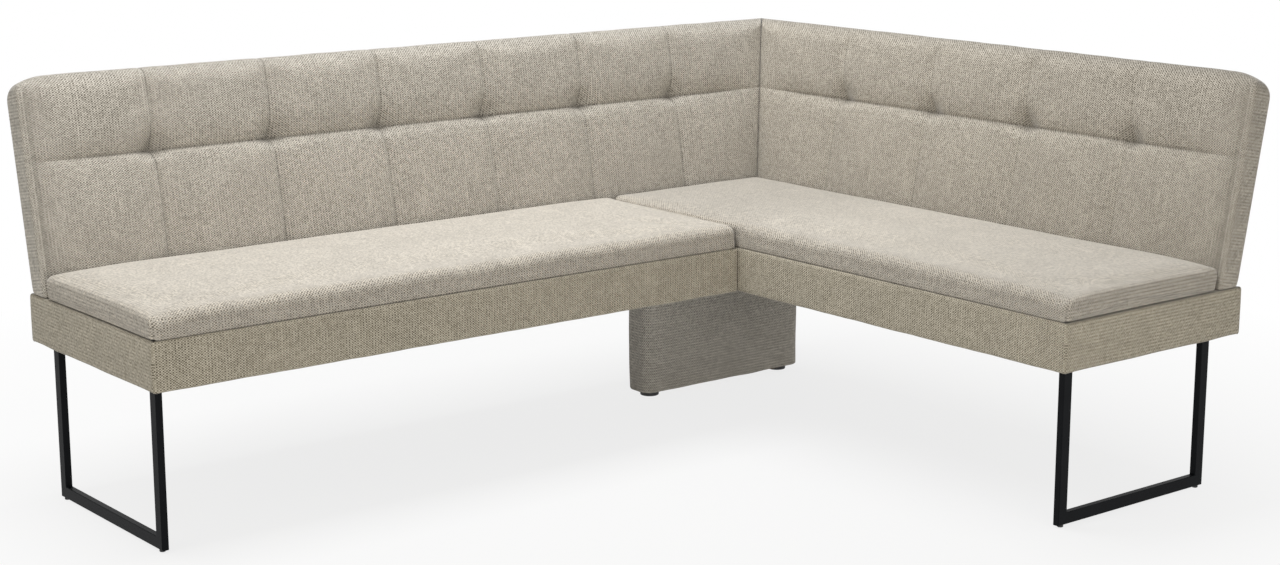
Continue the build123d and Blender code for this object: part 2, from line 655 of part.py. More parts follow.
def foot():
    """Levelling foot: a disc on the floor and a threaded stud that points up."""
    disc = rod(FOOT_DIAMETER, 0, FOOT_HEIGHT)
    disc = fillet(disc.edges(), FOOT_EDGE)
    return disc + rod(FOOT_STUD, FOOT_HEIGHT, FOOT_HEIGHT + FOOT_STUD_LENGTH)


def foot_nut():
    """Flanged nut pressed into the plinth's base board from inside."""
    low = FOOT_HEIGHT + PLINTH_BOARD
    body = rod(FOOT_NUT, FOOT_HEIGHT, low) + rod(FOOT_NUT_FLANGE, low, low + FOOT_NUT_FLANGE_HEIGHT)
    return body - rod(FOOT_STUD + 2 * THREAD_EASE, 0, low + FOOT_NUT_FLANGE_HEIGHT + HOLE_EASE)


def plinth_fixing():
    """Packer between plinth and seat box, and the bolts down through a cross rail."""
    half = PACKER_LENGTH / 2
    middle = FRAME_WALL + half
    wide = PACKER_WIDTH / 2
    add("plinth_packer", CORNER,
        block(middle - half, middle + half, PLINTH_Y - wide, PLINTH_Y + wide, FRAME_BOTTOM, PLATE_TOP))
    seat_height = RAIL_TOP - PLINTH_BOLT_SINK
    length = seat_height - FRAME_BOTTOM + PLINTH_BOARD
    fixing = screw(PLINTH_BOLT, length, PLINTH_BOLT_HEAD, PLINTH_BOLT_HEAD_HEIGHT)
    hole = rod(PLINTH_BOLT + 2 * PRESS_EASE, 0, length + HOLE_EASE)
    sink = rod(PLINTH_BOLT_HEAD + 2 * HOLE_EASE, -PLINTH_BOLT_SINK - HOLE_EASE, 0)
    spots = [Plane(origin=(PLINTH_X + side * PLINTH_BOLT_SPACING / 2, PLINTH_Y, seat_height), z_dir=(0, 0, -1))
             for side in (-1, 1)]
    add("plinth_bolts", CORNER, *[spot * fixing for spot in spots])
    drilled = ("cross_rails", "short_dust_cloth", "plinth_packer", "plinth_top_board")
    drill(CORNER, drilled, [spot * (hole + sink) for spot in spots])


def wing_bolts():
    """Flanged bolts and nuts that clamp the long seat box to the side of the short one."""
    height = (RAIL_BOTTOM + RAIL_TOP) / 2
    grip = 2 * FRAME_WALL
    nut_end = grip + WING_BOLT_FLANGE_HEIGHT + WING_BOLT_HEX_HEIGHT
    flange = rod(WING_BOLT_FLANGE, -WING_BOLT_FLANGE_HEIGHT, 0)
    head = hexagon(WING_BOLT_HEX, -WING_BOLT_FLANGE_HEIGHT - WING_BOLT_HEX_HEIGHT, -WING_BOLT_FLANGE_HEIGHT)
    bolt = rod(WING_BOLT, 0, nut_end + WING_BOLT_TAIL) + flange + head
    nut = rod(WING_BOLT_FLANGE, grip, grip + WING_BOLT_FLANGE_HEIGHT)
    nut = nut + hexagon(WING_BOLT_HEX, grip + WING_BOLT_FLANGE_HEIGHT, nut_end)
    nut = nut - rod(WING_BOLT + 2 * PRESS_EASE, grip - HOLE_EASE, nut_end + HOLE_EASE)
    hole = rod(WING_BOLT + 2 * HOLE_EASE, -HOLE_EASE, grip + HOLE_EASE)
    spots = [Plane(origin=(-FRAME_WALL, y, height), z_dir=(1, 0, 0))
             for y in (WING_BOLT_MARGIN, WING_DEPTH - WING_BOLT_MARGIN)]
    add("wing_bolts", CORNER, *[spot * bolt for spot in spots])
    add("wing_nuts", CORNER, *[spot * nut for spot in spots])
    drilled = ("long_inner_end_rail", "long_inner_band", "short_front_band", "short_front_rail")
    drill(CORNER, drilled, [spot * hole for spot in spots])


def build():
    """Build every node of the bench."""
    over_plinth = SHORT_FRONT + PLINTH_Y
    cross_rails(LONG, spread(strap_places(LONG), LONG_CROSS_RAILS))
    cross_rails(SHORT, spread(strap_places(SHORT), SHORT_CROSS_RAILS)[:-1] + [over_plinth])
    for wing in WINGS:
        rails(wing)
        corner_blocks(wing)
        bands(wing)
        dust_cloth(wing)
        webbing(wing)
        seat(wing)
        leg(wing)
    corner_bracket = [LONG_FRONT + WING_DEPTH / 2]
    backrest(LONG, bracket_places(LONG) + corner_bracket)
    backrest(SHORT, bracket_places(SHORT))
    brackets(LONG, bracket_places(LONG), "long_rear_rail")
    brackets(LONG, corner_bracket, "short_inner_end_rail")
    brackets(SHORT, bracket_places(SHORT), "short_rear_rail")
    plinth()
    plinth_fixing()
    wing_bolts()


def export():
    """Write one STEP file for each node."""
    os.makedirs("parts", exist_ok=True)
    for name, shapes in nodes.items():
        solids = [solid for shape in shapes for solid in shape.solids()]
        export_step(Compound(children=solids), os.path.join("parts", f"{name}.step"))


build()
export()
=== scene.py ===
"""Corner bench: upholstery, finishes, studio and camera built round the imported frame.

Lengths are in metres, in the frame of the CAD model. Each soft piece is shaped in the frame of its wing,
where x runs from the free end to the corner, y from the front to the rear and z up, and is then moved to
its place.
"""

import json
import logging
import math
from dataclasses import dataclass
from enum import Enum
from typing import Callable, Optional, Sequence

import bpy
import numpy as np
from mathutils import Matrix, Vector

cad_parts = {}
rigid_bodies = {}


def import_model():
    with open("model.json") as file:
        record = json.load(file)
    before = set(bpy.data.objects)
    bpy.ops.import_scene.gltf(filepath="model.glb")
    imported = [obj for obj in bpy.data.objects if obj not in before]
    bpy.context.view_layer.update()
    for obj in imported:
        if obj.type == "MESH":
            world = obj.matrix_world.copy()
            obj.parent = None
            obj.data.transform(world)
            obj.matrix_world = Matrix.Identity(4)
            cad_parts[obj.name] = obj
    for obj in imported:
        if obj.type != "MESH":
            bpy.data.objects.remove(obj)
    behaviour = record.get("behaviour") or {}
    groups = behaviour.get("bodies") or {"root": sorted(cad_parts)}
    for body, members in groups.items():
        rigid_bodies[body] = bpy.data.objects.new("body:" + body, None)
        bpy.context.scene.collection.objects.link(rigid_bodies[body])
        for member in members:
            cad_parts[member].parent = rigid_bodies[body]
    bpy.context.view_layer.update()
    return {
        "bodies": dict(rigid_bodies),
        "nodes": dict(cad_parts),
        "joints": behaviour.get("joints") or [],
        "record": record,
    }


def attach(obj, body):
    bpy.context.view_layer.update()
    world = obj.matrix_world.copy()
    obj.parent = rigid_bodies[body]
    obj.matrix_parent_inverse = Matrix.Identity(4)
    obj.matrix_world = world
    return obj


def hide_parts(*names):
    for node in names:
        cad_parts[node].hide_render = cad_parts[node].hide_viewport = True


LOG = logging.getLogger("corner_bench")

INNER_CORNER = Vector((0.42608, 0.17858, 0.0))
WING_DEPTH = 0.560
FRAME_BOTTOM = 0.322
FRAME_TOP = 0.424
LEAN = math.radians(11.0)
BACK_PIVOT = 0.548337
BACK_FRONT = 0.470510
SEAM_STEPS = (0.0, 0.0022, 0.006, 0.012, 0.021)
SEAM_REACH = 0.031
FACE_PITCH = 0.016
QUARTER_TURN = math.pi / 2
HAIR = 1e-6
WEAVE_MAP = "weave"
# Attribute of painted shade: the cloth's colour is darker where it is high.
PAINTED_SHADE = "painted_shade"
BRUSHED = "brushed"
BODY = "bench"
UPHOLSTERY = "upholstery"

WEAVES = {
    "greige_weave": ((231, 225, 214), (181, 175, 164), (73, 67, 57)),
    "greige_weave_pad": ((228, 218, 201), (184, 178, 168), (74, 66, 51)),
    # Darker copy of the greige weave for the short backrest: painted shade, for the darker look of its turned
    # nap.
    "greige_weave_turned_shaded": ((220, 213, 200), (170, 163, 151), (68, 62, 50)),
    "greige_weave_band": ((216, 208, 191), (172, 164, 146), (74, 67, 52)),
    # Paler copy of the greige weave for the plinth in the shade under the seats: painted light.
    "greige_weave_plinth_brightened": ((244, 239, 230), (198, 192, 181), (72, 67, 58)),
}
# Weights of painted shade on the backrests: seams, tufts, end seam and beside it, mitre, the top edge that
# the lamp above lights, and near the seat where it casts shade.
BACK_PAINTED_SHADES = {
    "seam": 0.45,
    "tuft": 0.36,
    "end_seam": 0.30,
    "beside_end": 0.18,
    "corner": 0.50,
    "crest": 0.60,
    "foot": 0.22,
}
# Weights of painted shade on the seat pads: in the hem line, the corner seam and the joint between the pads.
PAD_PAINTED_SHADES = {"hem": 0.28, "corner": 0.30, "joint": 0.50}
# Weights of painted shade on the seat box bands: at the corner seams and along the upper rim under the pad.
BAND_PAINTED_SHADES = {"corner": 0.18, "rim": 0.18}

Test = Callable[[Vector, Vector], bool]
Socket = bpy.types.NodeSocket


class Side(Enum):
    """The two wings of the bench."""

    LONG = "long"
    SHORT = "short"


@dataclass(frozen=True)
class Wing:
    """One wing of the bench, where it stands and how its upholstery differs.

    Attributes:
        side: Which wing it is.
        front: Length from the free end to the inner corner.
        box: Length of its seat box.
        columns: Number of quilted columns on its backrest.
        back_weave: Name of the backrest's fabric.
        plump: How far the backrest's panels stand proud of the seams.
        seam_mark: How clearly the backrest's upright seams show.
        side_shade: Painted shade on the sides of its seat pad.
        inner_shade: Painted shade on the top of its seat pad by the corner.
    """

    side: Side
    front: float
    box: float
    columns: int
    back_weave: str
    plump: float
    seam_mark: float
    side_shade: float
    inner_shade: float

    @property
    def name(self) -> str:
        """Name used in the CAD nodes."""
        return self.side.value

    @property
    def mirrored(self) -> bool:
        """Whether the wing is mirrored at the inner corner."""
        return self.side is Side.SHORT

    def placing(self) -> Matrix:
        """Matrix from the wing's frame to the bench's frame.

        Returns:
            The matrix; it mirrors for the short wing.
        """
        shift = Matrix.Translation((-self.front, 0.0, 0.0))
        swap = Matrix(((0, 1, 0, 0), (1, 0, 0, 0), (0, 0, 1, 0), (0, 0, 0, 1)))
        turn = swap if self.mirrored else Matrix.Identity(4)
        return Matrix.Translation(INNER_CORNER) @ turn @ shift


WINGS = (
    Wing(Side.LONG, 1.480, 1.480, 7, "greige_weave", 0.0165, 0.85, side_shade=0.14, inner_shade=0.0),
    Wing(Side.SHORT, 0.985, 1.545, 5, "greige_weave_turned_shaded", 0.0130, 0.32, side_shade=0.26, inner_shade=0.34),
)


def deselect() -> None:
    """Leave edit mode and deselect every object."""
    if bpy.context.object is not None and bpy.context.object.mode != "OBJECT":
        bpy.ops.object.mode_set(mode="OBJECT")
    bpy.ops.object.select_all(action="DESELECT")


def take(piece: bpy.types.Object) -> None:
    """Select one object alone and make it active."""
    deselect()
    piece.select_set(True)
    bpy.context.view_layer.objects.active = piece


def open_edit(piece: bpy.types.Object, mode: str) -> None:
    """Open a piece in edit mode with nothing selected.

    Args:
        piece: The mesh object.
        mode: Selection mode, VERT, EDGE or FACE.
    """
    take(piece)
    bpy.ops.object.mode_set(mode="EDIT")
    bpy.ops.mesh.select_mode(type=mode)
    bpy.ops.mesh.select_all(action="DESELECT")


def close_edit() -> None:
    """Go back to object mode."""
    bpy.ops.object.mode_set(mode="OBJECT")


def add_block(name: str, low: Sequence[float], high: Sequence[float]) -> bpy.types.Object:
    """Add a cube primitive between two corners.

    Args:
        name: Name of the new piece.
        low: Lowest corner.
        high: Highest corner.

    Returns:
        The new object, with its place applied to its mesh.
    """
    deselect()
    centre = [(a + b) / 2 for a, b in zip(low, high)]
    size = [b - a for a, b in zip(low, high)]
    bpy.ops.mesh.primitive_cube_add(size=1.0, location=centre, scale=size)
    piece = bpy.context.object
    piece.name = piece.data.name = name
    bpy.ops.object.transform_apply(location=True, rotation=True, scale=True)
    return piece


def add_grid(name: str, across: int, along: int) -> bpy.types.Object:
    """Add a flat grid primitive of unit size.

    Args:
        name: Name of the new piece.
        across: Number of faces along x.
        along: Number of faces along y.

    Returns:
        The new object.
    """
    deselect()
    bpy.ops.mesh.primitive_grid_add(x_subdivisions=across, y_subdivisions=along, size=1.0)
    piece = bpy.context.object
    piece.name = piece.data.name = name
    return piece


def pick_edges(piece: bpy.types.Object, test: Test) -> None:
    """Open a piece in edit mode with the edges that pass a test selected.

    Args:
        piece: The mesh object.
        test: Takes an edge's middle and direction, says whether it is picked.
    """
    open_edit(piece, "EDGE")
    close_edit()
    points = piece.data.vertices
    for edge in piece.data.edges:
        first, second = (points[index].co for index in edge.vertices)
        edge.select = test((first + second) / 2, (second - first).normalized())
    bpy.ops.object.mode_set(mode="EDIT")


def pick_faces(piece: bpy.types.Object, test: Test) -> None:
    """Open a piece in edit mode with the faces that pass a test selected.

    Args:
        piece: The mesh object.
        test: Takes a face's centre and normal, says whether it is picked.
    """
    open_edit(piece, "FACE")
    close_edit()
    for face in piece.data.polygons:
        face.select = test(face.center, face.normal)
    bpy.ops.object.mode_set(mode="EDIT")


def points_of(piece: bpy.types.Object) -> np.ndarray:
    """Read the places of a piece's vertices as an array of rows."""
    flat = np.empty(len(piece.data.vertices) * 3)
    piece.data.vertices.foreach_get("co", flat)
    return flat.reshape(-1, 3)


def move_points(piece: bpy.types.Object, places: np.ndarray) -> None:
    """Write new places for all vertices of a piece."""
    piece.data.vertices.foreach_set("co", np.ascontiguousarray(places, dtype=np.float64).ravel())
    piece.data.update()


def apply_all(piece: bpy.types.Object) -> None:
    """Apply every modifier of a piece, in order."""
    take(piece)
    for modifier in list(piece.modifiers):
        bpy.ops.object.modifier_apply(modifier=modifier.name)


def smooth(piece: bpy.types.Object, angle: float) -> None:
    """Shade a piece smooth, with edges sharper than an angle in degrees left crisp."""
    take(piece)
    bpy.ops.object.shade_smooth_by_angle(angle=math.radians(angle))


def subdivided(piece: bpy.types.Object) -> None:
    """Apply one level of a subdivision surface to a piece."""
    modifier = piece.modifiers.new("subdivision", "SUBSURF")
    modifier.levels = modifier.render_levels = 1
    apply_all(piece)


def ring(x: object, section: np.ndarray) -> np.ndarray:
    """Outline that sets a section of y and z at one x, or each of its points at its own."""
    return np.column_stack((np.broadcast_to(x, len(section)), section))


def wrap_grid(name: str, outlines: Sequence[np.ndarray]) -> bpy.types.Object:
    """Wrap a grid primitive round a row of closed outlines and close both ends.

    Args:
        name: Name of the new piece.
        outlines: The outlines, with equally many points in each.

    Returns:
        The closed skin, with faces outward.
    """
    outlines = np.array(outlines)
    count, around = outlines.shape[:2]
    piece = add_grid(name, around, count - 1)
    flat = points_of(piece)
    across = np.rint((flat[:, 0] + 0.5) * around).astype(int) % around
    along = np.rint((flat[:, 1] + 0.5) * (count - 1)).astype(int)
    move_points(piece, outlines[along, across])
    open_edit(piece, "VERT")
    bpy.ops.mesh.select_all(action="SELECT")
    bpy.ops.mesh.remove_doubles(threshold=1e-5)
    bpy.ops.mesh.select_all(action="SELECT")
    bpy.ops.mesh.fill_holes(sides=0)
    bpy.ops.mesh.select_all(action="SELECT")
    bpy.ops.mesh.normals_make_consistent(inside=False)
    close_edit()
    return piece


def make_sleeve(piece: bpy.types.Object, upright: tuple, wall: float, inner: Test, rim: Test,
                hem: tuple) -> None:
    """Turn a block into a sleeve that is open above and below.

    Args:
        piece: The block.
        upright: Radius of the upright edges and number of steps in it.
        wall: Thickness of the sleeve.
        inner: Says which edges lie on the inner rims.
        rim: Says which edges of the outer rims are rounded.
        hem: Radius of those and number of steps in it.
    """
    pick_edges(piece, lambda middle, way: abs(way.z) > 0.9)
    bpy.ops.mesh.bevel(offset=upright[0], segments=upright[1], affect="EDGES")
    pick_faces(piece, lambda centre, normal: abs(normal.z) > 0.9)
    bpy.ops.mesh.inset(thickness=wall, use_boundary=True)
    bpy.ops.mesh.delete(type="FACE")
    pick_edges(piece, inner)
    bpy.ops.mesh.bridge_edge_loops()
    pick_edges(piece, rim)
    bpy.ops.mesh.bevel(offset=hem[0], segments=hem[1], affect="EDGES")
    bpy.ops.mesh.select_all(action="SELECT")
    bpy.ops.mesh.normals_make_consistent(inside=False)
    close_edit()


def cut_up(piece: bpy.types.Object, cuts: dict) -> None:
    """Cut a piece into small faces, so that it can lie soft.

    Args:
        piece: The mesh object.
        cuts: Number of cuts for the edges along each axis.
    """
    for axis, count in cuts.items():
        pick_edges(piece, lambda middle, way: abs(way[axis]) > 0.99)
        bpy.ops.mesh.subdivide(number_cuts=count)
    close_edit()


def bell(distance: np.ndarray, width: object) -> np.ndarray:
    """Soft bump that is 1 at no distance and fades over a width."""
    return np.exp(-((distance / width) ** 2))


def grow(value: np.ndarray, start: object, length: float) -> np.ndarray:
    """Share that grows evenly from 0 at a start to 1 after a length."""
    return np.clip((value - start) / length, 0.0, 1.0)


def ripple(places: np.ndarray, length: float, seed: int) -> np.ndarray:
    """Smooth unevenness over a set of points, from a few fixed waves.

    Args:
        places: Points, one in each row.
        length: Typical wave length.
        seed: Seed of the wave directions.

    Returns:
        One number for each point, about from -1 to 1.
    """
    maker = np.random.default_rng(seed)
    total = np.zeros(len(places))
    for _ in range(9):
        direction = maker.normal(size=3)
        direction /= np.linalg.norm(direction)
        pitch = length * maker.uniform(0.7, 1.6)
        total += np.sin(places @ direction * (2 * math.pi / pitch) + maker.uniform(0, 2 * math.pi))
    return total / 4.0


def weave_map(piece: bpy.types.Object) -> None:
    """Lay the weave on a piece at real scale, face by face, turned on the end faces of its wing.

    Args:
        piece: The mesh object, still square to its wing.
    """
    mesh = piece.data
    layer = mesh.uv_layers.get(WEAVE_MAP) or mesh.uv_layers.new(name=WEAVE_MAP)
    points = points_of(piece)
    corners = np.empty(len(mesh.loops), dtype=int)
    mesh.loops.foreach_get("vertex_index", corners)
    flat = np.empty((len(mesh.loops), 2))
    for face in mesh.polygons:
        normal = face.normal
        axis = max(range(3), key=lambda number: abs(normal[number]))
        pair = ((1, 2), (0, 2), (0, 1))[axis]
        if abs(normal.x) > 0.72:
            pair = pair[::-1]
        span = slice(face.loop_start, face.loop_start + face.loop_total)
        flat[span] = points[corners[span]][:, pair]
    layer.data.foreach_set("uv", flat.ravel())


def mark(piece: bpy.types.Object, name: str, amount: np.ndarray) -> None:
    """Keep a number from 0 to 1 for each point of a piece, which its material reads.

    Args:
        piece: The mesh object.
        name: Name of the attribute.
        amount: The numbers.
    """
    layer = piece.data.attributes.get(name) or piece.data.attributes.new(name, "FLOAT", "POINT")
    layer.data.foreach_set("value", np.clip(amount, 0.0, 1.0).astype(np.float32))


def mark_painted_shade(piece: bpy.types.Object, shades: dict, **amounts: np.ndarray) -> None:
    """Paint shade on a piece: the sum of several amounts, each by its own weight, darkens its colour."""
    mark(piece, PAINTED_SHADE, sum(shades[name] * amount for name, amount in amounts.items()))


def to_place(piece: bpy.types.Object, matrix: Matrix) -> None:
    """Move a mesh by a matrix and keep its faces outward.

    Args:
        piece: The mesh object.
        matrix: From the frame it was shaped in to the bench's frame.
    """
    piece.data.transform(matrix)
    if matrix.determinant() < 0:
        open_edit(piece, "FACE")
        bpy.ops.mesh.select_all(action="SELECT")
        bpy.ops.mesh.flip_normals()
        close_edit()
    piece.data.update()


def hand_over(piece: bpy.types.Object, matrix: Matrix, finish: bpy.types.Material, slot: str,
              *nodes: str) -> None:
    """Set a shaped piece in the frame.

    Args:
        piece: The mesh object.
        matrix: From the frame it was shaped in to the bench's frame.
        finish: Its material.
        slot: Its material slot in the record, not used.
        *nodes: The CAD nodes that it stands for.
    """
    to_place(piece, matrix)
    piece.data.materials.append(finish)
    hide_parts(*nodes)
    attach(piece, BODY)


@dataclass(frozen=True)
class Stuffing:
    """How a padded cover is blown up by cloth simulation.

    Attributes:
        pressure: Pressure inside the cover.
        frames: Number of steps.
        stiffness: How much the cover resists stretching.
        bending: How much the cover resists folding.
    """

    pressure: float = 4.0
    frames: int = 20
    stiffness: float = 12.0
    bending: float = 0.8

    def fill(self, piece: bpy.types.Object, held: np.ndarray, cap: np.ndarray) -> None:
        """Blow up a closed cover, with some points held and the movement capped softly.

        Args:
            piece: The closed cover.
            held: From 0, free, to 1, held, for each point.
            cap: Greatest movement of each point.
        """
        start = points_of(piece)
        group = piece.vertex_groups.new(name="held")
        for level in np.unique(np.round(held, 2)):
            chosen = np.flatnonzero(np.round(held, 2) == level)
            group.add([int(index) for index in chosen], float(level), "REPLACE")
        cloth = piece.modifiers.new("stuffing", "CLOTH")
        settings = cloth.settings
        settings.vertex_group_mass = group.name
        settings.quality = 5
        settings.mass = 0.25
        settings.tension_stiffness = self.stiffness
        settings.compression_stiffness = self.stiffness
        settings.shear_stiffness = self.stiffness / 2
        settings.bending_stiffness = self.bending
        settings.use_pressure = True
        settings.uniform_pressure_force = self.pressure
        settings.effector_weights.gravity = 0.0
        cloth.collision_settings.use_collision = False
        cloth.point_cache.frame_start = 1
        cloth.point_cache.frame_end = self.frames
        scene = bpy.context.scene
        for frame in range(1, self.frames + 1):
            scene.frame_set(frame)
        apply_all(piece)
        scene.frame_set(1)
        piece.vertex_groups.clear()
        moved = points_of(piece) - start
        length = np.linalg.norm(moved, axis=1)
        limit = np.maximum(cap, HAIR)
        kept = limit * (1.0 - np.exp(-length / limit))
        scale = np.where(length > 1e-9, kept / np.maximum(length, 1e-9), 0.0)
        LOG.info("%s filled: kept up to %.1f mm", piece.name, kept.max() * 1000)
        move_points(piece, start + moved * scale[:, None])


class Recipe:
    """Short way to add and join the nodes of one material or world."""

    def __init__(self, owner: bpy.types.ID) -> None:
        """Open the nodes of a new material or world.

        Args:
            owner: The material or world.
        """
        owner.use_nodes = True
        self.owner = owner
        self.tree = owner.node_tree

    @classmethod
    def start(cls, name: str) -> "Recipe":
        """Recipe of a new material."""
        return cls(bpy.data.materials.new(name))

    @property
    def shader(self) -> bpy.types.Node:
        """The principled shader of a material."""
        return self.tree.nodes["Principled BSDF"]

    def add(self, kind: str, feeds: Optional[dict] = None, **settings: object) -> bpy.types.Node:
        """Add a node, set its properties and feed its sockets.

        Args:
            kind: Blender's name of the node type.
            feeds: Names or numbers of sockets, with the values or sockets that they take.
            **settings: Property values.

        Returns:
            The new node.
        """
        node = self.tree.nodes.new(kind)
        for key, value in settings.items():
            setattr(node, key, value)
        for key, value in (feeds or {}).items():
            self.feed(node.inputs[key], value)
        return node

    def feed(self, socket: Socket, value: object) -> None:
        """Link a socket to another one, or set its value."""
        if isinstance(value, bpy.types.NodeSocket):
            self.tree.links.new(value, socket)
        else:
            socket.default_value = value

    def set(self, **values: object) -> None:
        """Set sockets of the shader by name, with underscores for spaces."""
        for key, value in values.items():
            self.feed(self.shader.inputs[key.replace("_", " ")], value)

    def place(self) -> Socket:
        """Object coordinates of the surface."""
        return self.add("ShaderNodeTexCoord").outputs["Object"]

    def kept(self, name: str) -> Socket:
        """Number that a piece keeps for each of its points."""
        return self.add("ShaderNodeAttribute", attribute_name=name).outputs["Fac"]

    def math(self, operation: str, *values: object) -> Socket:
        """Result of a math node on numbers or sockets."""
        return self.add("ShaderNodeMath", dict(enumerate(values)), operation=operation).outputs[0]

    def noise(self, vector: Socket, scale: float, detail: float) -> Socket:
        """Value of a noise texture at a coordinate."""
        feeds = {"Vector": vector, "Scale": scale, "Detail": detail}
        return self.add("ShaderNodeTexNoise", feeds).outputs["Fac"]

    def stretched(self, vector: Socket, scale: Sequence[float], detail: float) -> Socket:
        """Value of a noise texture with its own scale along each axis."""
        place = self.add("ShaderNodeMapping", {"Vector": vector, "Scale": scale})
        return self.noise(place.outputs["Vector"], 1.0, detail)

    def span(self, value: Socket, low: float, high: float, start: float = 0.0, end: float = 1.0) -> Socket:
        """Value mapped from the range of start and end to that of low and high, and kept in it."""
        feeds = {"Value": value, "From Min": start, "From Max": end, "To Min": low, "To Max": high}
        return self.add("ShaderNodeMapRange", feeds).outputs["Result"]

    def shade(self, colour: Socket, amount: Socket) -> Socket:
        """Colour multiplied by a value."""
        return self.add("ShaderNodeVectorMath", {0: colour, "Scale": amount}, operation="SCALE").outputs[0]

    def bump(self, height: Socket, distance: float, strength: float) -> None:
        """Give the shader a bump of a depth in metres."""
        node = self.add("ShaderNodeBump", {"Distance": distance, "Strength": strength, "Height": height})
        self.set(Normal=node.outputs["Normal"])

    def ramp(self, value: Socket, stops: Sequence[tuple]) -> Socket:
        """Colour a value by stops of position and colour.

        Args:
            value: The value.
            stops: Positions with linear colours.

        Returns:
            The colour.
        """
        node = self.add("ShaderNodeValToRGB", {"Fac": value})
        elements = node.color_ramp.elements
        while len(elements) < len(stops):
            elements.new(0.5)
        for element, (position, colour) in zip(elements, stops):
            element.position = position
            element.color = (*colour, 1.0)
        return node.outputs["Color"]

    def seen(self) -> Socket:
        """Whether a ray shows the surface, straight, mirrored or through glass.

        Returns:
            1 for such a ray, or 0 for one that only carries light.
        """
        path = self.add("ShaderNodeLightPath").outputs
        seen = self.math("MAXIMUM", path["Is Camera Ray"], path["Is Glossy Ray"])
        return self.math("MAXIMUM", seen, path["Is Transmission Ray"])

    def blend(self, share: Socket, first: Socket, second: Socket, output: str) -> None:
        """Show a mix of two shaders.

        Args:
            share: Share of the second one.
            first: First shader.
            second: Second shader.
            output: Name of the output node.
        """
        mix = self.add("ShaderNodeMixShader", {0: share, 1: first, 2: second})
        self.feed(self.tree.nodes[output].inputs["Surface"], mix.outputs[0])


def linear(red: int, green: int, blue: int) -> tuple:
    """Linear colour from display values of 0 to 255."""
    return tuple(((value / 255 + 0.055) / 1.055) ** 2.4 for value in (red, green, blue))


@dataclass(frozen=True)
class WovenCloth:
    """Soft chenille weave in greige, with columns of dark dots between thick light threads.

    Attributes:
        name: Name of the material.
        light: Colour of the raised threads.
        middle: Colour of their flanks.
        dark: Colour of the gaps.
        column: Repeat of the weave across its columns, two columns wide.
        row: Repeat along a column.
        wander: How far the threads stray, across and along.
        ribbed: Strength of the plain columns.
        rowed: Strength of the plain rows.
        dotted: Strength of the dots.
        depth: Contrast of the pattern, where the pile is crushed and where it stands.
        uneven: Spread of tone from yarn to yarn.
        tones: Fibres, streaks and patches: scale across and along, detail and spread of tone.
    """

    name: str
    light: tuple
    middle: tuple
    dark: tuple
    column: float = 0.0069
    row: float = 0.0052
    wander: tuple = (0.0022, 0.0022, 0.0)
    ribbed: float = 0.18
    rowed: float = 0.10
    dotted: float = 0.80
    depth: tuple = (0.34, 0.52)
    uneven: float = 0.28
    tones: tuple = (
        ((2600.0, 900.0, 1.0), 2.0, 0.10),
        ((260.0, 14.0, 1.0), 2.0, 0.08),
        ((13.0, 9.0, 1.0), 3.0, 0.055),
    )

    def build(self) -> bpy.types.Material:
        """Make the material.

        Returns:
            The finished material.
        """
        cloth = Recipe.start(self.name)
        chart = cloth.add("ShaderNodeUVMap", uv_map=WEAVE_MAP).outputs["UV"]
        gap = self.threads(cloth, chart)
        colour = cloth.ramp(gap, ((0.12, self.light), (0.50, self.middle), (0.86, self.dark)))
        noises = [cloth.stretched(chart, scale, detail) for scale, detail, _ in self.tones]
        for noise, (_, _, spread) in zip(noises, self.tones):
            colour = cloth.shade(colour, cloth.span(noise, 1.0 - spread, 1.0 + spread, 0.25, 0.75))
        # Painted shade: the colour darkens to half where the piece's painted shade attribute is 1.
        colour = cloth.shade(colour, cloth.span(cloth.kept(PAINTED_SHADE), 1.0, 0.50))
        height = cloth.math("MULTIPLY_ADD", noises[0], 0.35, cloth.math("SUBTRACT", 1.0, gap))
        cloth.bump(height, 0.0008, 0.55)
        cloth.set(Base_Color=colour, Roughness=0.94, Sheen_Weight=0.42, Sheen_Roughness=0.40)
        cloth.set(Specular_IOR_Level=0.15)
        return cloth.owner

    def threads(self, cloth: Recipe, chart: Socket) -> Socket:
        """Pattern of the threads.

        Args:
            cloth: The recipe that it is added to.
            chart: Place on the cloth.

        Returns:
            From about 0 on the raised threads to about 1 in the gaps.
        """
        stray = cloth.add("ShaderNodeTexNoise", {"Vector": chart, "Scale": 45.0}).outputs["Color"]
        feeds = {0: stray, 1: self.wander, 2: chart}
        moved = cloth.add("ShaderNodeVectorMath", feeds, operation="MULTIPLY_ADD")
        split = cloth.add("ShaderNodeSeparateXYZ", {0: moved.outputs[0]})
        beats = [
            cloth.math("DIVIDE", split.outputs["X"], self.column),
            cloth.math("DIVIDE", split.outputs["Y"], self.row),
        ]
        halves = [cloth.math("FLOOR", cloth.math("MULTIPLY", beat, 2.0)) for beat in beats]
        cell = cloth.add("ShaderNodeCombineXYZ", {"X": halves[0], "Y": halves[1]})
        yarn = cloth.add("ShaderNodeTexWhiteNoise", {"Vector": cell.outputs[0]}, noise_dimensions="2D")
        columns, rows = [cloth.math("SINE", cloth.math("MULTIPLY", beat, 2 * math.pi)) for beat in beats]
        dots = cloth.math("MULTIPLY", columns, cloth.math("MULTIPLY_ADD", rows, self.dotted, self.ribbed))
        pattern = cloth.math("MULTIPLY_ADD", rows, self.rowed, dots)
        crush = cloth.span(cloth.stretched(chart, (60.0, 44.0, 1.0), 2.0), *self.depth, 0.32, 0.62)
        depth = cloth.math("MULTIPLY", crush, cloth.span(cloth.kept(BRUSHED), 1.0, 0.34))
        tone = cloth.math("MULTIPLY_ADD", yarn.outputs["Value"], self.uneven, -self.uneven / 2)
        return cloth.math("ADD", cloth.math("MULTIPLY_ADD", pattern, depth, 0.5), tone)


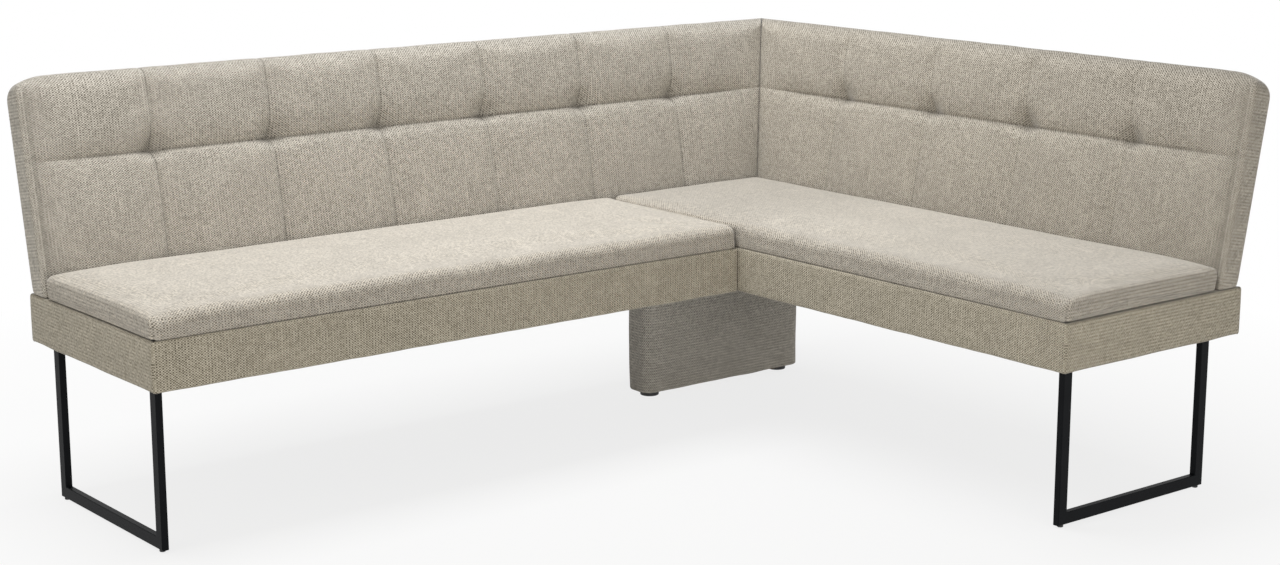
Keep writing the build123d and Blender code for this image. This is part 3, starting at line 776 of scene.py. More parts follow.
@dataclass(frozen=True)
class HardFinish:
    """Metal or plastic that is cloudy in tone and gloss and has a fine grain.

    Attributes:
        name: Name of the material.
        deep: Its deepest colour.
        pale: Its palest colour.
        stops: Where the clouds are deep and where they are pale.
        clouds: Scale and detail of the clouds.
        grain: Scale of the fine grain.
        bump: Depth and strength of the grain.
        roughness: Least and greatest roughness.
        metallic: 1 for bare metal.
        specular: Level of the plain reflection.
    """

    name: str
    deep: tuple
    pale: tuple
    stops: tuple
    clouds: tuple
    grain: float
    bump: tuple
    roughness: tuple
    metallic: float = 0.0
    specular: float = 0.5

    def build(self) -> bpy.types.Material:
        """Make the material.

        Returns:
            The finished material.
        """
        finish = Recipe.start(self.name)
        place = finish.place()
        clouds = finish.noise(place, *self.clouds)
        finish.bump(finish.noise(place, self.grain, 2.0), *self.bump)
        colour = finish.ramp(clouds, tuple(zip(self.stops, (self.deep, self.pale))))
        finish.set(Base_Color=colour, Roughness=finish.span(clouds, *self.roughness))
        finish.set(Metallic=self.metallic, Specular_IOR_Level=self.specular)
        return finish.owner


POWDER_COAT = HardFinish(
    "satin_black_powder_coat", (0.0045, 0.005, 0.006), (0.00675, 0.0075, 0.009), stops=(0.3, 0.7),
    clouds=(14.0, 3.0), grain=700.0, bump=(0.0002, 0.25), roughness=(0.36, 0.46), specular=0.06)
MOULDED_PLASTIC = HardFinish(
    "matt_black_plastic", (0.006, 0.006, 0.007), (0.018, 0.018, 0.019), stops=(0.35, 0.75),
    clouds=(60.0, 4.0), grain=1800.0, bump=(0.00015, 0.3), roughness=(0.5, 0.66))
ZINC_PLATE = HardFinish(
    "zinc_plate", (0.52, 0.53, 0.55), (0.68, 0.69, 0.70), stops=(0.3, 0.7),
    clouds=(220.0, 3.0), grain=1500.0, bump=(0.0001, 0.2), roughness=(0.28, 0.45), metallic=1.0)


@dataclass(frozen=True)
class SawnTimber:
    """Planed softwood or plywood with grain along one axis.

    Attributes:
        name: Name of the material.
        pale: Colour of the early wood.
        deep: Colour of the late wood.
        stretch: Scale of the grain along x, y and z.
    """

    name: str
    pale: tuple
    deep: tuple
    stretch: tuple

    def build(self) -> bpy.types.Material:
        """Make the material.

        Returns:
            The finished material.
        """
        wood = Recipe.start(self.name)
        place = wood.place()
        rings = wood.stretched(place, self.stretch, 5.0)
        pores = wood.stretched(place, tuple(value * 9.0 for value in self.stretch), 3.0)
        bands = wood.math("FRACT", wood.math("MULTIPLY", rings, 9.0))
        colour = wood.ramp(bands, ((0.0, self.pale), (0.7, self.pale), (1.0, self.deep)))
        colour = wood.shade(colour, wood.span(pores, 0.86, 1.10, 0.3, 0.7))
        wood.bump(pores, 0.0003, 0.4)
        wood.set(Base_Color=colour, Roughness=wood.span(pores, 0.55, 0.75))
        return wood.owner


PINE = SawnTimber("sawn_pine", linear(222, 190, 142), linear(186, 140, 88), (9.0, 9.0, 60.0))
PLYWOOD = SawnTimber("birch_plywood", linear(226, 200, 160), linear(206, 172, 126), (12.0, 12.0, 180.0))


@dataclass(frozen=True)
class PlainCloth:
    """Plain technical cloth: dust cloth or webbing.

    Attributes:
        name: Name of the material.
        pale: Colour of the raised parts.
        deep: Colour of the gaps.
        pitch: Distance between the threads or cells.
    """

    name: str
    pale: tuple
    deep: tuple
    pitch: float

    def build(self) -> bpy.types.Material:
        """Make the material.

        Returns:
            The finished material.
        """
        cloth = Recipe.start(self.name)
        place = cloth.place()
        cells = cloth.noise(place, 1.0 / self.pitch, 3.0)
        felt = cloth.noise(place, 26.0, 2.0)
        colour = cloth.ramp(cells, ((0.35, self.deep), (0.65, self.pale)))
        colour = cloth.shade(colour, cloth.span(felt, 0.85, 1.12, 0.3, 0.7))
        cloth.bump(cells, self.pitch / 4, 0.5)
        cloth.set(Base_Color=colour, Roughness=0.95, Sheen_Weight=0.1)
        return cloth.owner


DUST_CLOTH = PlainCloth("black_dust_cloth", (0.020, 0.020, 0.021), (0.008, 0.008, 0.009), 0.0006)
WEBBING = PlainCloth("elastic_webbing", (0.10, 0.10, 0.10), (0.04, 0.04, 0.04), 0.0012)


@dataclass
class QuiltedBack:
    """Leaning backrest, quilted in two rows and pulled in where the seams cross.

    It is shaped upright, rear face on y = 0 and front towards -y, then leaned and placed.

    Attributes:
        wing: The wing it belongs to.
        finish: Its fabric.
        depth: Thickness at the seams.
        height: Height along the slope.
        row: Height of the row seam along the slope.
        column_depth: Thickness at which the columns are shared out.
        front_round: Radius of the top front edge.
        rear_round: Radius of the top rear edge.
        end_round: Radius of the edges of the free end.
        end_seam: Distance of the end panel's seam from the free end.
        end_groove: Depth and width of that seam.
        end_drop: How far the top sinks towards the free end.
        groove: Depth and width of the other seams.
        tuft: Extra depth where seams cross.
        tuft_size: Width of a tuft, and its height above and below the row seam.
        row_dip: Extra depth along the row seam.
        dip_size: How far that reaches above and below the row seam.
        seam_bow: How far the upright seams bow sideways.
        foot_gap: Clearance to the seat box.
        ease: Clearance at the corner's mitre.
        stuffing: How the cover is filled.
    """

    wing: Wing
    finish: bpy.types.Material
    depth: float = 0.0655
    height: float = 0.4505
    row: float = 0.271
    column_depth: float = 0.066
    front_round: float = 0.025
    rear_round: float = 0.036
    end_round: float = 0.012
    end_seam: float = 0.015
    end_groove: tuple = (0.0034, 0.004)
    end_drop: float = 0.020
    groove: tuple = (0.0030, 0.0026)
    tuft: float = 0.0200
    tuft_size: tuple = (0.030, 0.034, 0.012)
    row_dip: float = 0.0095
    dip_size: tuple = (0.032, 0.011)
    seam_bow: float = 0.0045
    foot_gap: float = 0.0012
    ease: float = 0.0002
    stuffing: Stuffing = Stuffing()

    def foot(self, y: float) -> float:
        """Height of the level underside at a depth, in the upright frame."""
        return y * math.tan(LEAN) + self.foot_gap

    def outline(self, inset: float) -> np.ndarray:
        """Closed section, from the rear foot over the top to the front foot and back.

        Args:
            inset: How far the section is drawn in.

        Returns:
            Points of y and z.
        """
        rear, front, top = -inset, inset - self.depth, self.height - inset
        rear_round = max(self.rear_round - inset, 0.003)
        front_round = max(self.front_round - inset, 0.003)
        lift = inset * 0.3
        points = [(rear, z) for z in np.linspace(self.foot(rear) + lift, top - rear_round, 15)[:-1]]
        for turn in np.linspace(0.0, QUARTER_TURN, 7)[:-1]:
            points.append((rear - rear_round * (1 - math.cos(turn)), top - rear_round * (1 - math.sin(turn))))
        points.append((rear - rear_round, top))
        flat_front = min(front + front_round, rear - rear_round - 0.0005)
        for turn in np.linspace(0.0, QUARTER_TURN, 8)[:-1]:
            y = flat_front - (flat_front - front) * math.sin(turn)
            points.append((y, top - front_round * (1 - math.cos(turn))))
        heights = list(np.linspace(top - front_round, self.row + SEAM_REACH, 14))
        heights += [self.row + step for step in SEAM_STEPS[::-1]]
        heights += [self.row - step for step in SEAM_STEPS[1:]]
        heights += list(np.linspace(self.row - SEAM_REACH, self.foot(front) + lift, 22))
        points += [(front, z) for z in heights]
        points += [(y, self.foot(y) + lift) for y in np.linspace(front, rear, 7)[1:-1]]
        return np.array(points)

    def seams(self) -> list:
        """Places of the upright seams.

        Returns:
            The end panel's seam, and the others up to the last one before the corner.
        """
        reach = BACK_PIVOT - self.column_depth * math.cos(LEAN) + self.row * math.sin(LEAN)
        width = (self.wing.front + reach) / self.wing.columns
        return [self.end_seam] + [width * number for number in range(1, self.wing.columns)]

    def corner_at(self, y: np.ndarray, z: np.ndarray) -> np.ndarray:
        """Where the corner's mitre lies at a depth and height of the upright frame."""
        return self.wing.front + BACK_PIVOT + y * math.cos(LEAN) + z * math.sin(LEAN) - self.ease

    def outlines(self) -> list:
        """Outlines from the free end to the mitre.

        Returns:
            Points of each outline.
        """
        rows = [ring(0.0, self.outline(inset)) for inset in (0.0315, 0.026, 0.0205, 0.0155)]
        for turn in np.linspace(0.0, QUARTER_TURN, 7):
            section = self.outline(self.end_round * (1 - math.sin(turn)))
            rows.append(ring(self.end_round * (1 - math.cos(turn)), section))
        whole = self.outline(0.0)
        mitre = self.corner_at(*whole.T)
        seams = self.seams()
        for start, end in zip(seams, seams[1:] + [float(mitre.min())]):
            width = end - start
            near = np.array(SEAM_STEPS) / width
            middle = np.linspace(SEAM_REACH, width - SEAM_REACH, 20) / width
            steps = np.concatenate((near, middle, 1.0 - near[::-1][:-1]))
            if start < seams[-1]:
                rows += [ring(start + width * share, whole) for share in steps]
            else:
                steps = np.append(steps, (1.0 - 0.0008 / width, 1.0))
                rows += [ring(start + (mitre - start) * share, whole) for share in steps]
        for inset in (0.0008, 0.004, 0.012, 0.024, 0.0315):
            section = self.outline(inset)
            rows.append(ring(self.corner_at(*section.T), section))
        return rows

    def swell(self, places: np.ndarray) -> tuple:
        """How each point takes part in the quilting.

        Args:
            places: Points in the upright frame.

        Returns:
            Distance to the nearest seam, whether it is on the padded face, and its share of the crown.
        """
        x, y, z = places.T
        reach = self.corner_at(y, z)
        away = np.minimum(np.abs(x - self.end_seam) * 1.6 + 0.004, np.abs(reach - x) * 2.5 + 0.006)
        for seam in self.seams()[1:]:
            away = np.minimum(away, np.abs(x - seam))
        between = (x > self.end_seam - HAIR) & (x < reach + HAIR)
        face = (y < -self.depth + 1e-4) & between
        crest = (z > self.height - self.front_round - HAIR) & (y < -self.rear_round - HAIR) & between
        across = np.where(crest, 1.0, np.abs(z - self.row))
        foot = np.where(crest, 1.0, np.maximum(z - (-self.depth * math.tan(LEAN)), 0.0) + 0.01)
        distance = np.minimum(np.minimum(away, across), foot)
        over = np.clip((y + self.rear_round) / (-self.depth + self.rear_round), 0.0, 1.0)
        lift = np.where(crest, over, 1.0)
        return distance, face | crest, lift

    def build(self) -> bpy.types.Object:
        """Make the backrest and set it in the frame.

        Returns:
            The finished piece.
        """
        name = self.wing.name
        piece = wrap_grid(f"{name}_backrest", self.outlines())
        places = points_of(piece)
        distance, padded, lift = self.swell(places)
        cap = self.wing.plump * np.where(padded, 0.25 + 0.75 * lift, 0.0)
        self.stuffing.fill(piece, np.where(padded & (distance > 1e-4), 0.0, 1.0), cap)
        self.sew(piece, places, distance, padded)
        weave_map(piece)
        smooth(piece, 180.0)
        subdivided(piece)
        lean = Matrix.Translation((0.0, BACK_PIVOT, FRAME_TOP)) @ Matrix.Rotation(-LEAN, 4, "X")
        matrix = self.wing.placing() @ lean
        hand_over(piece, matrix, self.finish, UPHOLSTERY, f"{name}_back_cover", f"{name}_back_foam")
        return piece

    def sew(self, piece: bpy.types.Object, start: np.ndarray, distance: np.ndarray,
            padded: np.ndarray) -> None:
        """Press in the seams and the crossings, and paint shade into the seams, the tufts, the end seam and
        beside it, the mitre, the top edge and the foot.

        Args:
            piece: The filled cover.
            start: Points before filling.
            distance: Distance to the nearest seam.
            padded: Whether a point is on the padded face.
        """
        places = points_of(piece)
        x, y, z = start.T
        reach = self.corner_at(y, z)
        rise = z - self.row
        above = rise > 0
        front = z <= self.height - self.front_round + HAIR
        facing = y < -self.depth + 0.004
        wide, tall, short = self.tuft_size
        fade = np.clip((x - 0.02) / 0.14, 0.15, 1.0) * np.clip((reach - x) / 0.14, 0.15, 1.0)
        clear = np.where(np.abs(rise) <= distance + HAIR, fade, self.wing.seam_mark)
        seam = bell(distance, self.groove[1]) * padded * clear
        aside = np.min([np.abs(x - place) for place in self.seams()[1:]], axis=0)
        tuft = bell(aside, wide) * bell(rise, np.where(above, tall, short)) * padded
        dip = np.where(above, np.exp(-rise / self.dip_size[0]), np.exp(rise / self.dip_size[1]))
        end_seam = bell(x - self.end_seam, self.end_groove[1]) * facing
        sunk = self.groove[0] * seam + self.tuft * tuft + self.row_dip * dip * fade * front * padded
        sunk += self.end_groove[0] * end_seam
        sunk += 0.0008 * ripple(start, 0.11, 7) * padded * grow(distance, 0.0, 0.03)
        inward = np.where(front[:, None], (0.0, 1.0, 0.0), (0.0, 0.5, -0.86))
        places += inward * sunk[:, None]
        part = np.clip(np.where(above, rise / (self.height - self.row), z / self.row), 0.0, 1.0)
        places[:, 0] += self.seam_bow * np.sin(math.pi * part) * padded * (x > 0.1) * (reach - x > 0.1)
        near_end = (1.0 - grow(x, 0.0, 0.075)) ** 2
        places[:, 2] -= self.end_drop * near_end * grow(z, self.height - 0.14, 0.14)
        places[:, 0] = np.minimum(places[:, 0], self.corner_at(places[:, 1], places[:, 2]))
        move_points(piece, places)
        # Painted shade: seams, tufts, mitre and foot darkened as if in shadow, and the top edge darkened
        # against the lamp above.
        mark_painted_shade(
            piece,
            BACK_PAINTED_SHADES,
            seam=seam,
            tuft=tuft,
            end_seam=end_seam,
            beside_end=bell(x - self.end_seam, 0.020) * (x > self.end_seam) * facing,
            corner=bell(reach - x, 0.0025) * (y < -self.rear_round),
            crest=grow(z, self.height - self.front_round, self.front_round),
            foot=np.exp(-np.clip(z - 0.05, 0.0, None) / 0.10) * padded,
        )


@dataclass
class SeatPad:
    """Flat seat cushion with a soft crown, rounded edges and a hem on the seat box.

    Attributes:
        wing: The wing it belongs to.
        finish: Its fabric.
        top: Height of the edge before it is filled.
        crown: How far the middle may rise.
        edge_round: Radius of the top front edge.
        end_round: Radius of the top edge and the corners of the free end.
        split_round: Radius of the top edges where the two pads meet.
        hem: Radius of the lower edge.
        draw: How far the sides are drawn in between the corners.
        corner_drop: How far the free corner sinks.
        margin: How far the cover starts inside its finished size.
        gap: Clearance to the backrests.
        split: Clearance to the other wing's pad.
        pitch: Distance between its outlines.
        stuffing: How the cover is filled.
    """

    wing: Wing
    finish: bpy.types.Material
    top: float = 0.4805
    crown: float = 0.0070
    edge_round: float = 0.0260
    end_round: float = 0.0160
    split_round: float = 0.0170
    hem: float = 0.0038
    draw: float = 0.0025
    corner_drop: float = 0.0060
    margin: float = 0.0012
    gap: float = 0.0008
    split: float = 0.0016
    pitch: float = 0.0125
    stuffing: Stuffing = Stuffing(pressure=3.0)

    def rear(self, z: np.ndarray) -> np.ndarray:
        """Depth of the rear face, along the leaning backrest, at a height."""
        return BACK_FRONT - self.gap + (z - FRAME_TOP) * math.tan(LEAN)

    def outline(self, inset: float, edge_round: float) -> np.ndarray:
        """Closed section of the pad, from the front hem up, over the top and back below.

        Args:
            inset: How far the section is drawn in.
            edge_round: Radius of its top front edge.

        Returns:
            Points of y and z.
        """
        hem = max(self.hem - inset, 0.0008)
        radius = max(edge_round - inset, 0.002)
        front, top = self.margin + inset * 0.65, self.top - inset
        low = FRAME_TOP + 0.0006 + min(inset, self.hem)
        back = inset * 0.3
        points = []
        for turn in np.linspace(0.0, QUARTER_TURN, 5)[:-1]:
            points.append((front + hem * (1 - math.sin(turn)), low + hem * (1 - math.cos(turn))))
        points += [(front, z) for z in np.linspace(low + hem, top - radius, 4)[:-1]]
        for turn in np.linspace(0.0, QUARTER_TURN, 9)[:-1]:
            points.append((front + radius * (1 - math.cos(turn)), top - radius * (1 - math.sin(turn))))
        points += [(y, top) for y in np.linspace(front + radius, self.rear(top) - back - 0.008, 38)]
        points += [(self.rear(z) - back, z) for z in np.linspace(top - 0.004, low, 6)]
        points += [(y, low) for y in np.linspace(self.rear(low) - back, front + hem, 16)[1:-1]]
        return np.array(points)

    def ending(self, section: np.ndarray) -> np.ndarray:
        """Where the inner end of the pad lies for each point of a section."""
        if self.wing.mirrored:
            return self.wing.front + self.rear(section[:, 1])
        return np.full(len(section), self.wing.front - self.split - self.margin)

    def steps_in(self, radius: float) -> list:
        """Steps over a rounded end, as distance from the end and inset of the section."""
        turns = np.linspace(0.0, QUARTER_TURN, 9)
        steps = [(radius * (1 - math.cos(turn)), radius * (1 - math.sin(turn))) for turn in turns]
        return [(0.0, radius + 0.0016), (0.0, radius + 0.0008)] + steps

    def round_at(self, x: float) -> float:
        """Radius of the front edge, which tightens where the other pad stands against it."""
        tight = self.split_round if self.wing.mirrored else self.edge_round
        return float(np.interp(x - self.wing.front, (-0.012, 0.030), (self.edge_round, tight)))

    def outlines(self) -> list:
        """Outlines from the free end to the inner end.

        Returns:
            Points of each outline.
        """
        rows = []
        for away, inset in self.steps_in(self.end_round):
            rows.append(ring(self.margin + away, self.outline(inset, self.edge_round)))
        start = self.margin + self.end_round
        short = 0.0 if self.wing.mirrored else self.split_round
        last = float(self.ending(self.outline(0.0, self.edge_round)).min()) - short
        count = int(round((last - start) / self.pitch))
        for share in np.linspace(0.0, 1.0, count + 1)[1:]:
            section = self.outline(0.0, self.round_at(start + (last - start) * share))
            rows.append(ring(start + (self.ending(section) - short - start) * share, section))
        if not self.wing.mirrored:
            for away, inset in self.steps_in(self.split_round)[::-1][1:]:
                section = self.outline(inset, self.edge_round)
                rows.append(ring(self.ending(section) - away, section))
        return rows

    def build(self) -> bpy.types.Object:
        """Make the pad and set it in the frame.

        Returns:
            The finished piece.
        """
        name = self.wing.name
        piece = wrap_grid(f"{name}_seat_pad", self.outlines())
        start = points_of(piece)
        x, y, z = start.T
        ends = self.ending(start[:, 1:])
        hold = (z < FRAME_TOP + 0.014) | (self.rear(z) - y < 0.006)
        if self.wing.mirrored:
            hold |= ends - x < 0.006
        edge = np.minimum(np.minimum(x, ends - x), np.minimum(y, self.rear(z) - y))
        cap = self.crown * np.clip(0.28 + edge / 0.10, 0.0, 1.0)
        self.stuffing.fill(piece, np.where(hold, 1.0, 0.0), cap)
        self.settle(piece, start)
        weave_map(piece)
        smooth(piece, 180.0)
        subdivided(piece)
        matrix = self.wing.placing()
        hand_over(piece, matrix, self.finish, UPHOLSTERY, f"{name}_seat_cover", f"{name}_seat_foam")
        return piece

    def settle(self, piece: bpy.types.Object, start: np.ndarray) -> None:
        """Draw in the sides, let the top lie a little uneven, mark the nap, and paint shade on the hem, the
        corner seam, the joint, the sides and the top by the corner.

        Args:
            piece: The filled cover.
            start: Points before filling.
        """
        places = points_of(piece)
        x, y, z = start.T
        front = self.wing.front
        ends = self.ending(start[:, 1:])
        along = np.clip(x / ends, 0.0, 1.0)
        deep = np.clip(y / BACK_FRONT, 0.0, 1.0)
        places[:, 1] += self.draw * 4 * along * (1 - along) * (1.0 - grow(y, 0.0, 0.12))
        places[:, 0] += self.draw * 4 * deep * (1 - deep) * (1.0 - grow(x, 0.0, 0.12))
        soft = grow(z, FRAME_TOP + 0.02, 0.02)
        places[:, 2] += 0.0008 * ripple(start, 0.16, 11) * soft
        corner = bell(x - 1.5 * y, 0.004) * (x < 0.022) * (y < 0.016) * (z < self.top - 0.010)
        places[:, :2] += 0.0010 * corner[:, None]
        places[:, 2] -= self.corner_drop * (bell(x, 0.055) * bell(y, 0.055) + 0.5 * bell(x, 0.05)) * soft
        move_points(piece, places)
        joint = (y < 0.006) & (x > front + 0.012) if self.wing.mirrored else ends - x < 0.006
        inside = np.minimum(x, y) + 0.010 * ripple(start, 0.08, 13)
        brushed = grow(inside, 0.006, 0.045) * (z > self.top - 0.014)
        inner = grow(x, front - 0.20, 0.40)
        mark(piece, BRUSHED, brushed)
        # Painted shade: hem, corner seam and joint darkened as in shadow, the sides darker than the top, and
        # the short pad's top darker by the corner.
        mark_painted_shade(
            piece,
            {**PAD_PAINTED_SHADES, "side": self.wing.side_shade, "inner": self.wing.inner_shade},
            hem=1.0 - grow(z, FRAME_TOP, 0.004),
            corner=corner,
            joint=joint * np.clip((self.top - 0.004 - z) / 0.016, 0.0, 1.0),
            side=1.0 - brushed,
            inner=inner * inner * (3.0 - 2.0 * inner) * brushed,
        )


@dataclass
class SeatBox:
    """Padded fabric band round a seat box, sewn at its corners.

    Attributes:
        wing: The wing it belongs to.
        finish: Its fabric.
        wall: Thickness of the band.
        edge_round: Radius of its edges.
    """

    wing: Wing
    finish: bpy.types.Material
    wall: float = 0.008
    edge_round: float = 0.0048

    def build(self) -> bpy.types.Object:
        """Make the band and set it in the frame.

        Returns:
            The finished piece.
        """
        name, long = self.wing.name, self.wing.box
        piece = add_block(f"{name}_seat_box_band", (0, 0, FRAME_BOTTOM), (long, WING_DEPTH, FRAME_TOP))
        upright, hem = (self.edge_round * 1.3, 4), (self.edge_round, 4)
        make_sleeve(piece, upright, self.wall, self.on_inner_rim, self.on_outer_rim, hem)
        cut_up(piece, {0: int(long / FACE_PITCH), 1: int(WING_DEPTH / FACE_PITCH), 2: 7})
        self.soften(piece)
        weave_map(piece)
        smooth(piece, 60.0)
        nodes = [f"{name}_{part}_band" for part in ("front", "rear", "outer", "inner")]
        hand_over(piece, self.wing.placing(), self.finish, UPHOLSTERY, *nodes)
        return piece

    def on_inner_rim(self, middle: Vector, way: Vector) -> bool:
        """Whether an edge lies on the inner rim, top or bottom."""
        past = self.wall * 0.9
        inside = past < middle.x < self.wing.box - past and past < middle.y < WING_DEPTH - past
        return inside and abs(way.z) < 0.1

    def on_outer_rim(self, middle: Vector, way: Vector) -> bool:
        """Whether an edge lies on the outer rim, top or bottom."""
        return abs(way.z) < 0.1 and not self.on_inner_rim(middle, way) and self.at_side(middle)

    def at_side(self, middle: Vector) -> bool:
        """Whether a point lies on the band's outer face."""
        near_x = min(middle.x, self.wing.box - middle.x)
        near_y = min(middle.y, WING_DEPTH - middle.y)
        nearest = min(near_x, near_y)
        return nearest < 1e-4 or max(near_x, near_y) < self.edge_round * 1.4 and nearest < self.edge_round

    def soften(self, piece: bpy.types.Object) -> None:
        """Let the faces swell and wander slightly, and paint shade on the corner seams and along the upper
        rim under the pad.

        Args:
            piece: The band, cut into small faces.
        """
        places = points_of(piece)
        x, y, z = places.T
        near_x, near_y = np.minimum(x, self.wing.box - x), np.minimum(y, WING_DEPTH - y)
        outer = np.minimum(near_x, near_y) < 1e-3
        height = grow(z, FRAME_BOTTOM, FRAME_TOP - FRAME_BOTTOM)
        swell = 0.0011 * np.sin(math.pi * height) + 0.0007 * ripple(places, 0.13, 5)
        open_front = np.clip((self.wing.front - 0.004 - x) / 0.05, 0.0, 1.0)
        push = np.zeros_like(places)
        push[:, 0] = np.where(x < 1e-3, -1.0, 0.0)
        push[:, 1] = np.where(y < 1e-3, -open_front, np.where(y > WING_DEPTH - 1e-3, 1.0, 0.0))
        places += push * (swell * outer)[:, None]
        places[:, 2] += 0.0007 * ripple(places * (1.0, 1.0, 0.0), 0.09, 23) * (z < FRAME_BOTTOM + 0.006)
        move_points(piece, places)
        near_x = np.minimum(x, self.wing.box - x) if self.wing.mirrored else x
        near_y = np.minimum(y, WING_DEPTH - y)
        corner = bell(np.hypot(near_x, near_y), 0.006)
        # Painted shade at the corner seams and along the upper rim.
        mark_painted_shade(piece, BAND_PAINTED_SHADES, corner=corner, rim=grow(z, FRAME_TOP - 0.004, 0.004))


@dataclass
class CornerPlinth:
    """Upholstered panel foot under the corner, with rounded ends.

    Attributes:
        finish: Its fabric.
        centre: Its middle, from the inner corner.
        size: Length and thickness.
        end_round: Radius of its upright edges.
        hem: Radius of its lower edge.
        wall: Thickness of the cover.
        low: Height of its lower edge.
    """

    finish: bpy.types.Material
    centre: tuple = (0.231, 0.352)
    size: tuple = (0.506, 0.088)
    end_round: float = 0.030
    hem: float = 0.004
    wall: float = 0.006
    low: float = 0.014

    def build(self) -> bpy.types.Object:
        """Make the cover and set it in the frame.

        Returns:
            The finished piece.
        """
        half_x, half_y = self.size[0] / 2, self.size[1] / 2
        piece = add_block("corner_plinth_cover", (-half_x, -half_y, self.low), (half_x, half_y, FRAME_BOTTOM))
        upright, hem = (self.end_round, 10), (self.hem, 3)
        make_sleeve(piece, upright, self.wall, self.on_inner_rim, self.on_lower_rim, hem)
        cut_up(piece, {0: 29, 2: 20})
        self.soften(piece)
        self.wind_weave(piece)
        smooth(piece, 60.0)
        matrix = Matrix.Translation(INNER_CORNER + Vector((*self.centre, 0.0)))
        hand_over(piece, matrix, self.finish, UPHOLSTERY, "plinth_cover")
        return piece

    def depth_in(self, middle: Vector) -> float:
        """How far a point lies inside the plinth's rounded plan.

        Args:
            middle: The point.

        Returns:
            The distance.
        """
        away_x = abs(middle.x) - (self.size[0] / 2 - self.end_round)
        away_y = abs(middle.y) - (self.size[1] / 2 - self.end_round)
        if away_x > 0 and away_y > 0:
            return self.end_round - math.hypot(away_x, away_y)
        return min(self.end_round - away_x, self.end_round - away_y)

    def on_inner_rim(self, middle: Vector, way: Vector) -> bool:
        """Whether an edge lies on the inner rim, top or bottom."""
        return abs(way.z) < 0.1 and abs(self.depth_in(middle) - self.wall) < 0.0012

    def on_lower_rim(self, middle: Vector, way: Vector) -> bool:
        """Whether an edge lies on the outer rim at the bottom."""
        return middle.z < self.low + 1e-4 and abs(way.z) < 0.1 and self.depth_in(middle) < 0.001

    def soften(self, piece: bpy.types.Object) -> None:
        """Let the cover wander slightly over its boards.

        Args:
            piece: The cover, cut into small faces.
        """
        places = points_of(piece)
        x, y, z = places.T
        outer = np.array([self.depth_in(Vector(point)) < 0.001 for point in places])
        height = grow(z, self.low, FRAME_BOTTOM - self.low)
        swell = 0.0008 * np.sin(math.pi * height) + 0.0009 * ripple(places, 0.12, 31)
        push = np.column_stack((np.sign(x) * (np.abs(x) > 0.225), np.sign(y), np.zeros(len(places))))
        places += push * (swell * outer)[:, None]
        places[:, 2] += 0.0010 * ripple(places * (1.0, 1.0, 0.0), 0.10, 37) * (z < self.low + 0.008)
        move_points(piece, places)

    def wind_weave(self, piece: bpy.types.Object) -> None:
        """Wind the weave round the plinth, along its girth.

        Args:
            piece: The cover.
        """
        mesh = piece.data
        layer = mesh.uv_layers.new(name=WEAVE_MAP)
        for face in mesh.polygons:
            side = 1.0 if face.center.x > 0 else -1.0
            for corner in face.loop_indices:
                point = mesh.vertices[mesh.loops[corner].vertex_index].co
                layer.data[corner].uv = (point.z, side * self.girth(point))

    def girth(self, point: Vector) -> float:
        """Length along the outside of the plan, from the middle of the front to the middle of the rear.

        Args:
            point: A point on the cover.

        Returns:
            The length.
        """
        flat_x = self.size[0] / 2 - self.end_round
        flat_y = self.size[1] / 2 - self.end_round
        quarter = self.end_round * QUARTER_TURN
        past_x = max(abs(point.x) - flat_x, 0.0)
        past_y = max(abs(point.y) - flat_y, 0.0)
        turn = math.atan2(past_x, past_y) / QUARTER_TURN if past_x + past_y > 1e-9 else 0.0
        to_end = min(abs(point.x), flat_x) + turn * quarter
        if past_y == 0.0:
            return flat_x + quarter + flat_y + point.y
        return to_end if point.y < 0 else 2 * (flat_x + quarter + flat_y) - to_end


@dataclass
class DustCloth:
    """Black cloth stapled under a seat box, sagging a little between the rails.

    Attributes:
        wing: The wing it belongs to.
        finish: Its cloth.
        top: Height of its upper side at the rails.
        sag: How far it hangs in the middle.
        edge: Distance of its edge from the outside of the box.
        thickness: Thickness of the cloth.
    """

    wing: Wing
    finish: bpy.types.Material
    top: float = 0.3278
    sag: float = 0.0035
    edge: float = 0.0092
    thickness: float = 0.0007

    def build(self) -> bpy.types.Object:
        """Make the cloth and set it in the frame.

        Returns:
            The finished piece.
        """
        name = self.wing.name
        long, deep = self.wing.box - 2 * self.edge, WING_DEPTH - 2 * self.edge
        piece = add_grid(f"{name}_dust_cloth_sheet", 96, 36)
        places = (points_of(piece) + (0.5, 0.5, 0.0)) * (long, deep, 1.0)
        x, y, _ = places.T
        inside = np.clip(np.minimum(np.minimum(x, long - x), np.minimum(y, deep - y)) / 0.09 - 0.35, 0.0, 1.0)
        hang = self.sag * inside * (0.75 + 0.25 * ripple(places, 0.2, 41))
        places[:, :2] += self.edge
        places[:, 2] = self.top - hang
        move_points(piece, places)
        solid = piece.modifiers.new("thickness", "SOLIDIFY")
        solid.thickness = self.thickness
        solid.offset = -1.0
        apply_all(piece)
        smooth(piece, 40.0)
        hand_over(piece, self.wing.placing(), self.finish, "dust_cloth", f"{name}_dust_cloth")
        return piece


@dataclass(frozen=True)
class Hardware:
    """The CAD nodes and their finishes.

    Attributes:
        finishes: Finish of each material slot of the record.
    """

    finishes: dict

    def dress(self, frame: dict) -> None:
        """Give every CAD node its finish.
        """
        for part in frame["record"]["subparts"]:
            materials = frame["nodes"][part["node"]].data.materials
            materials.clear()
            materials.append(self.finishes[part["material_slot"]])


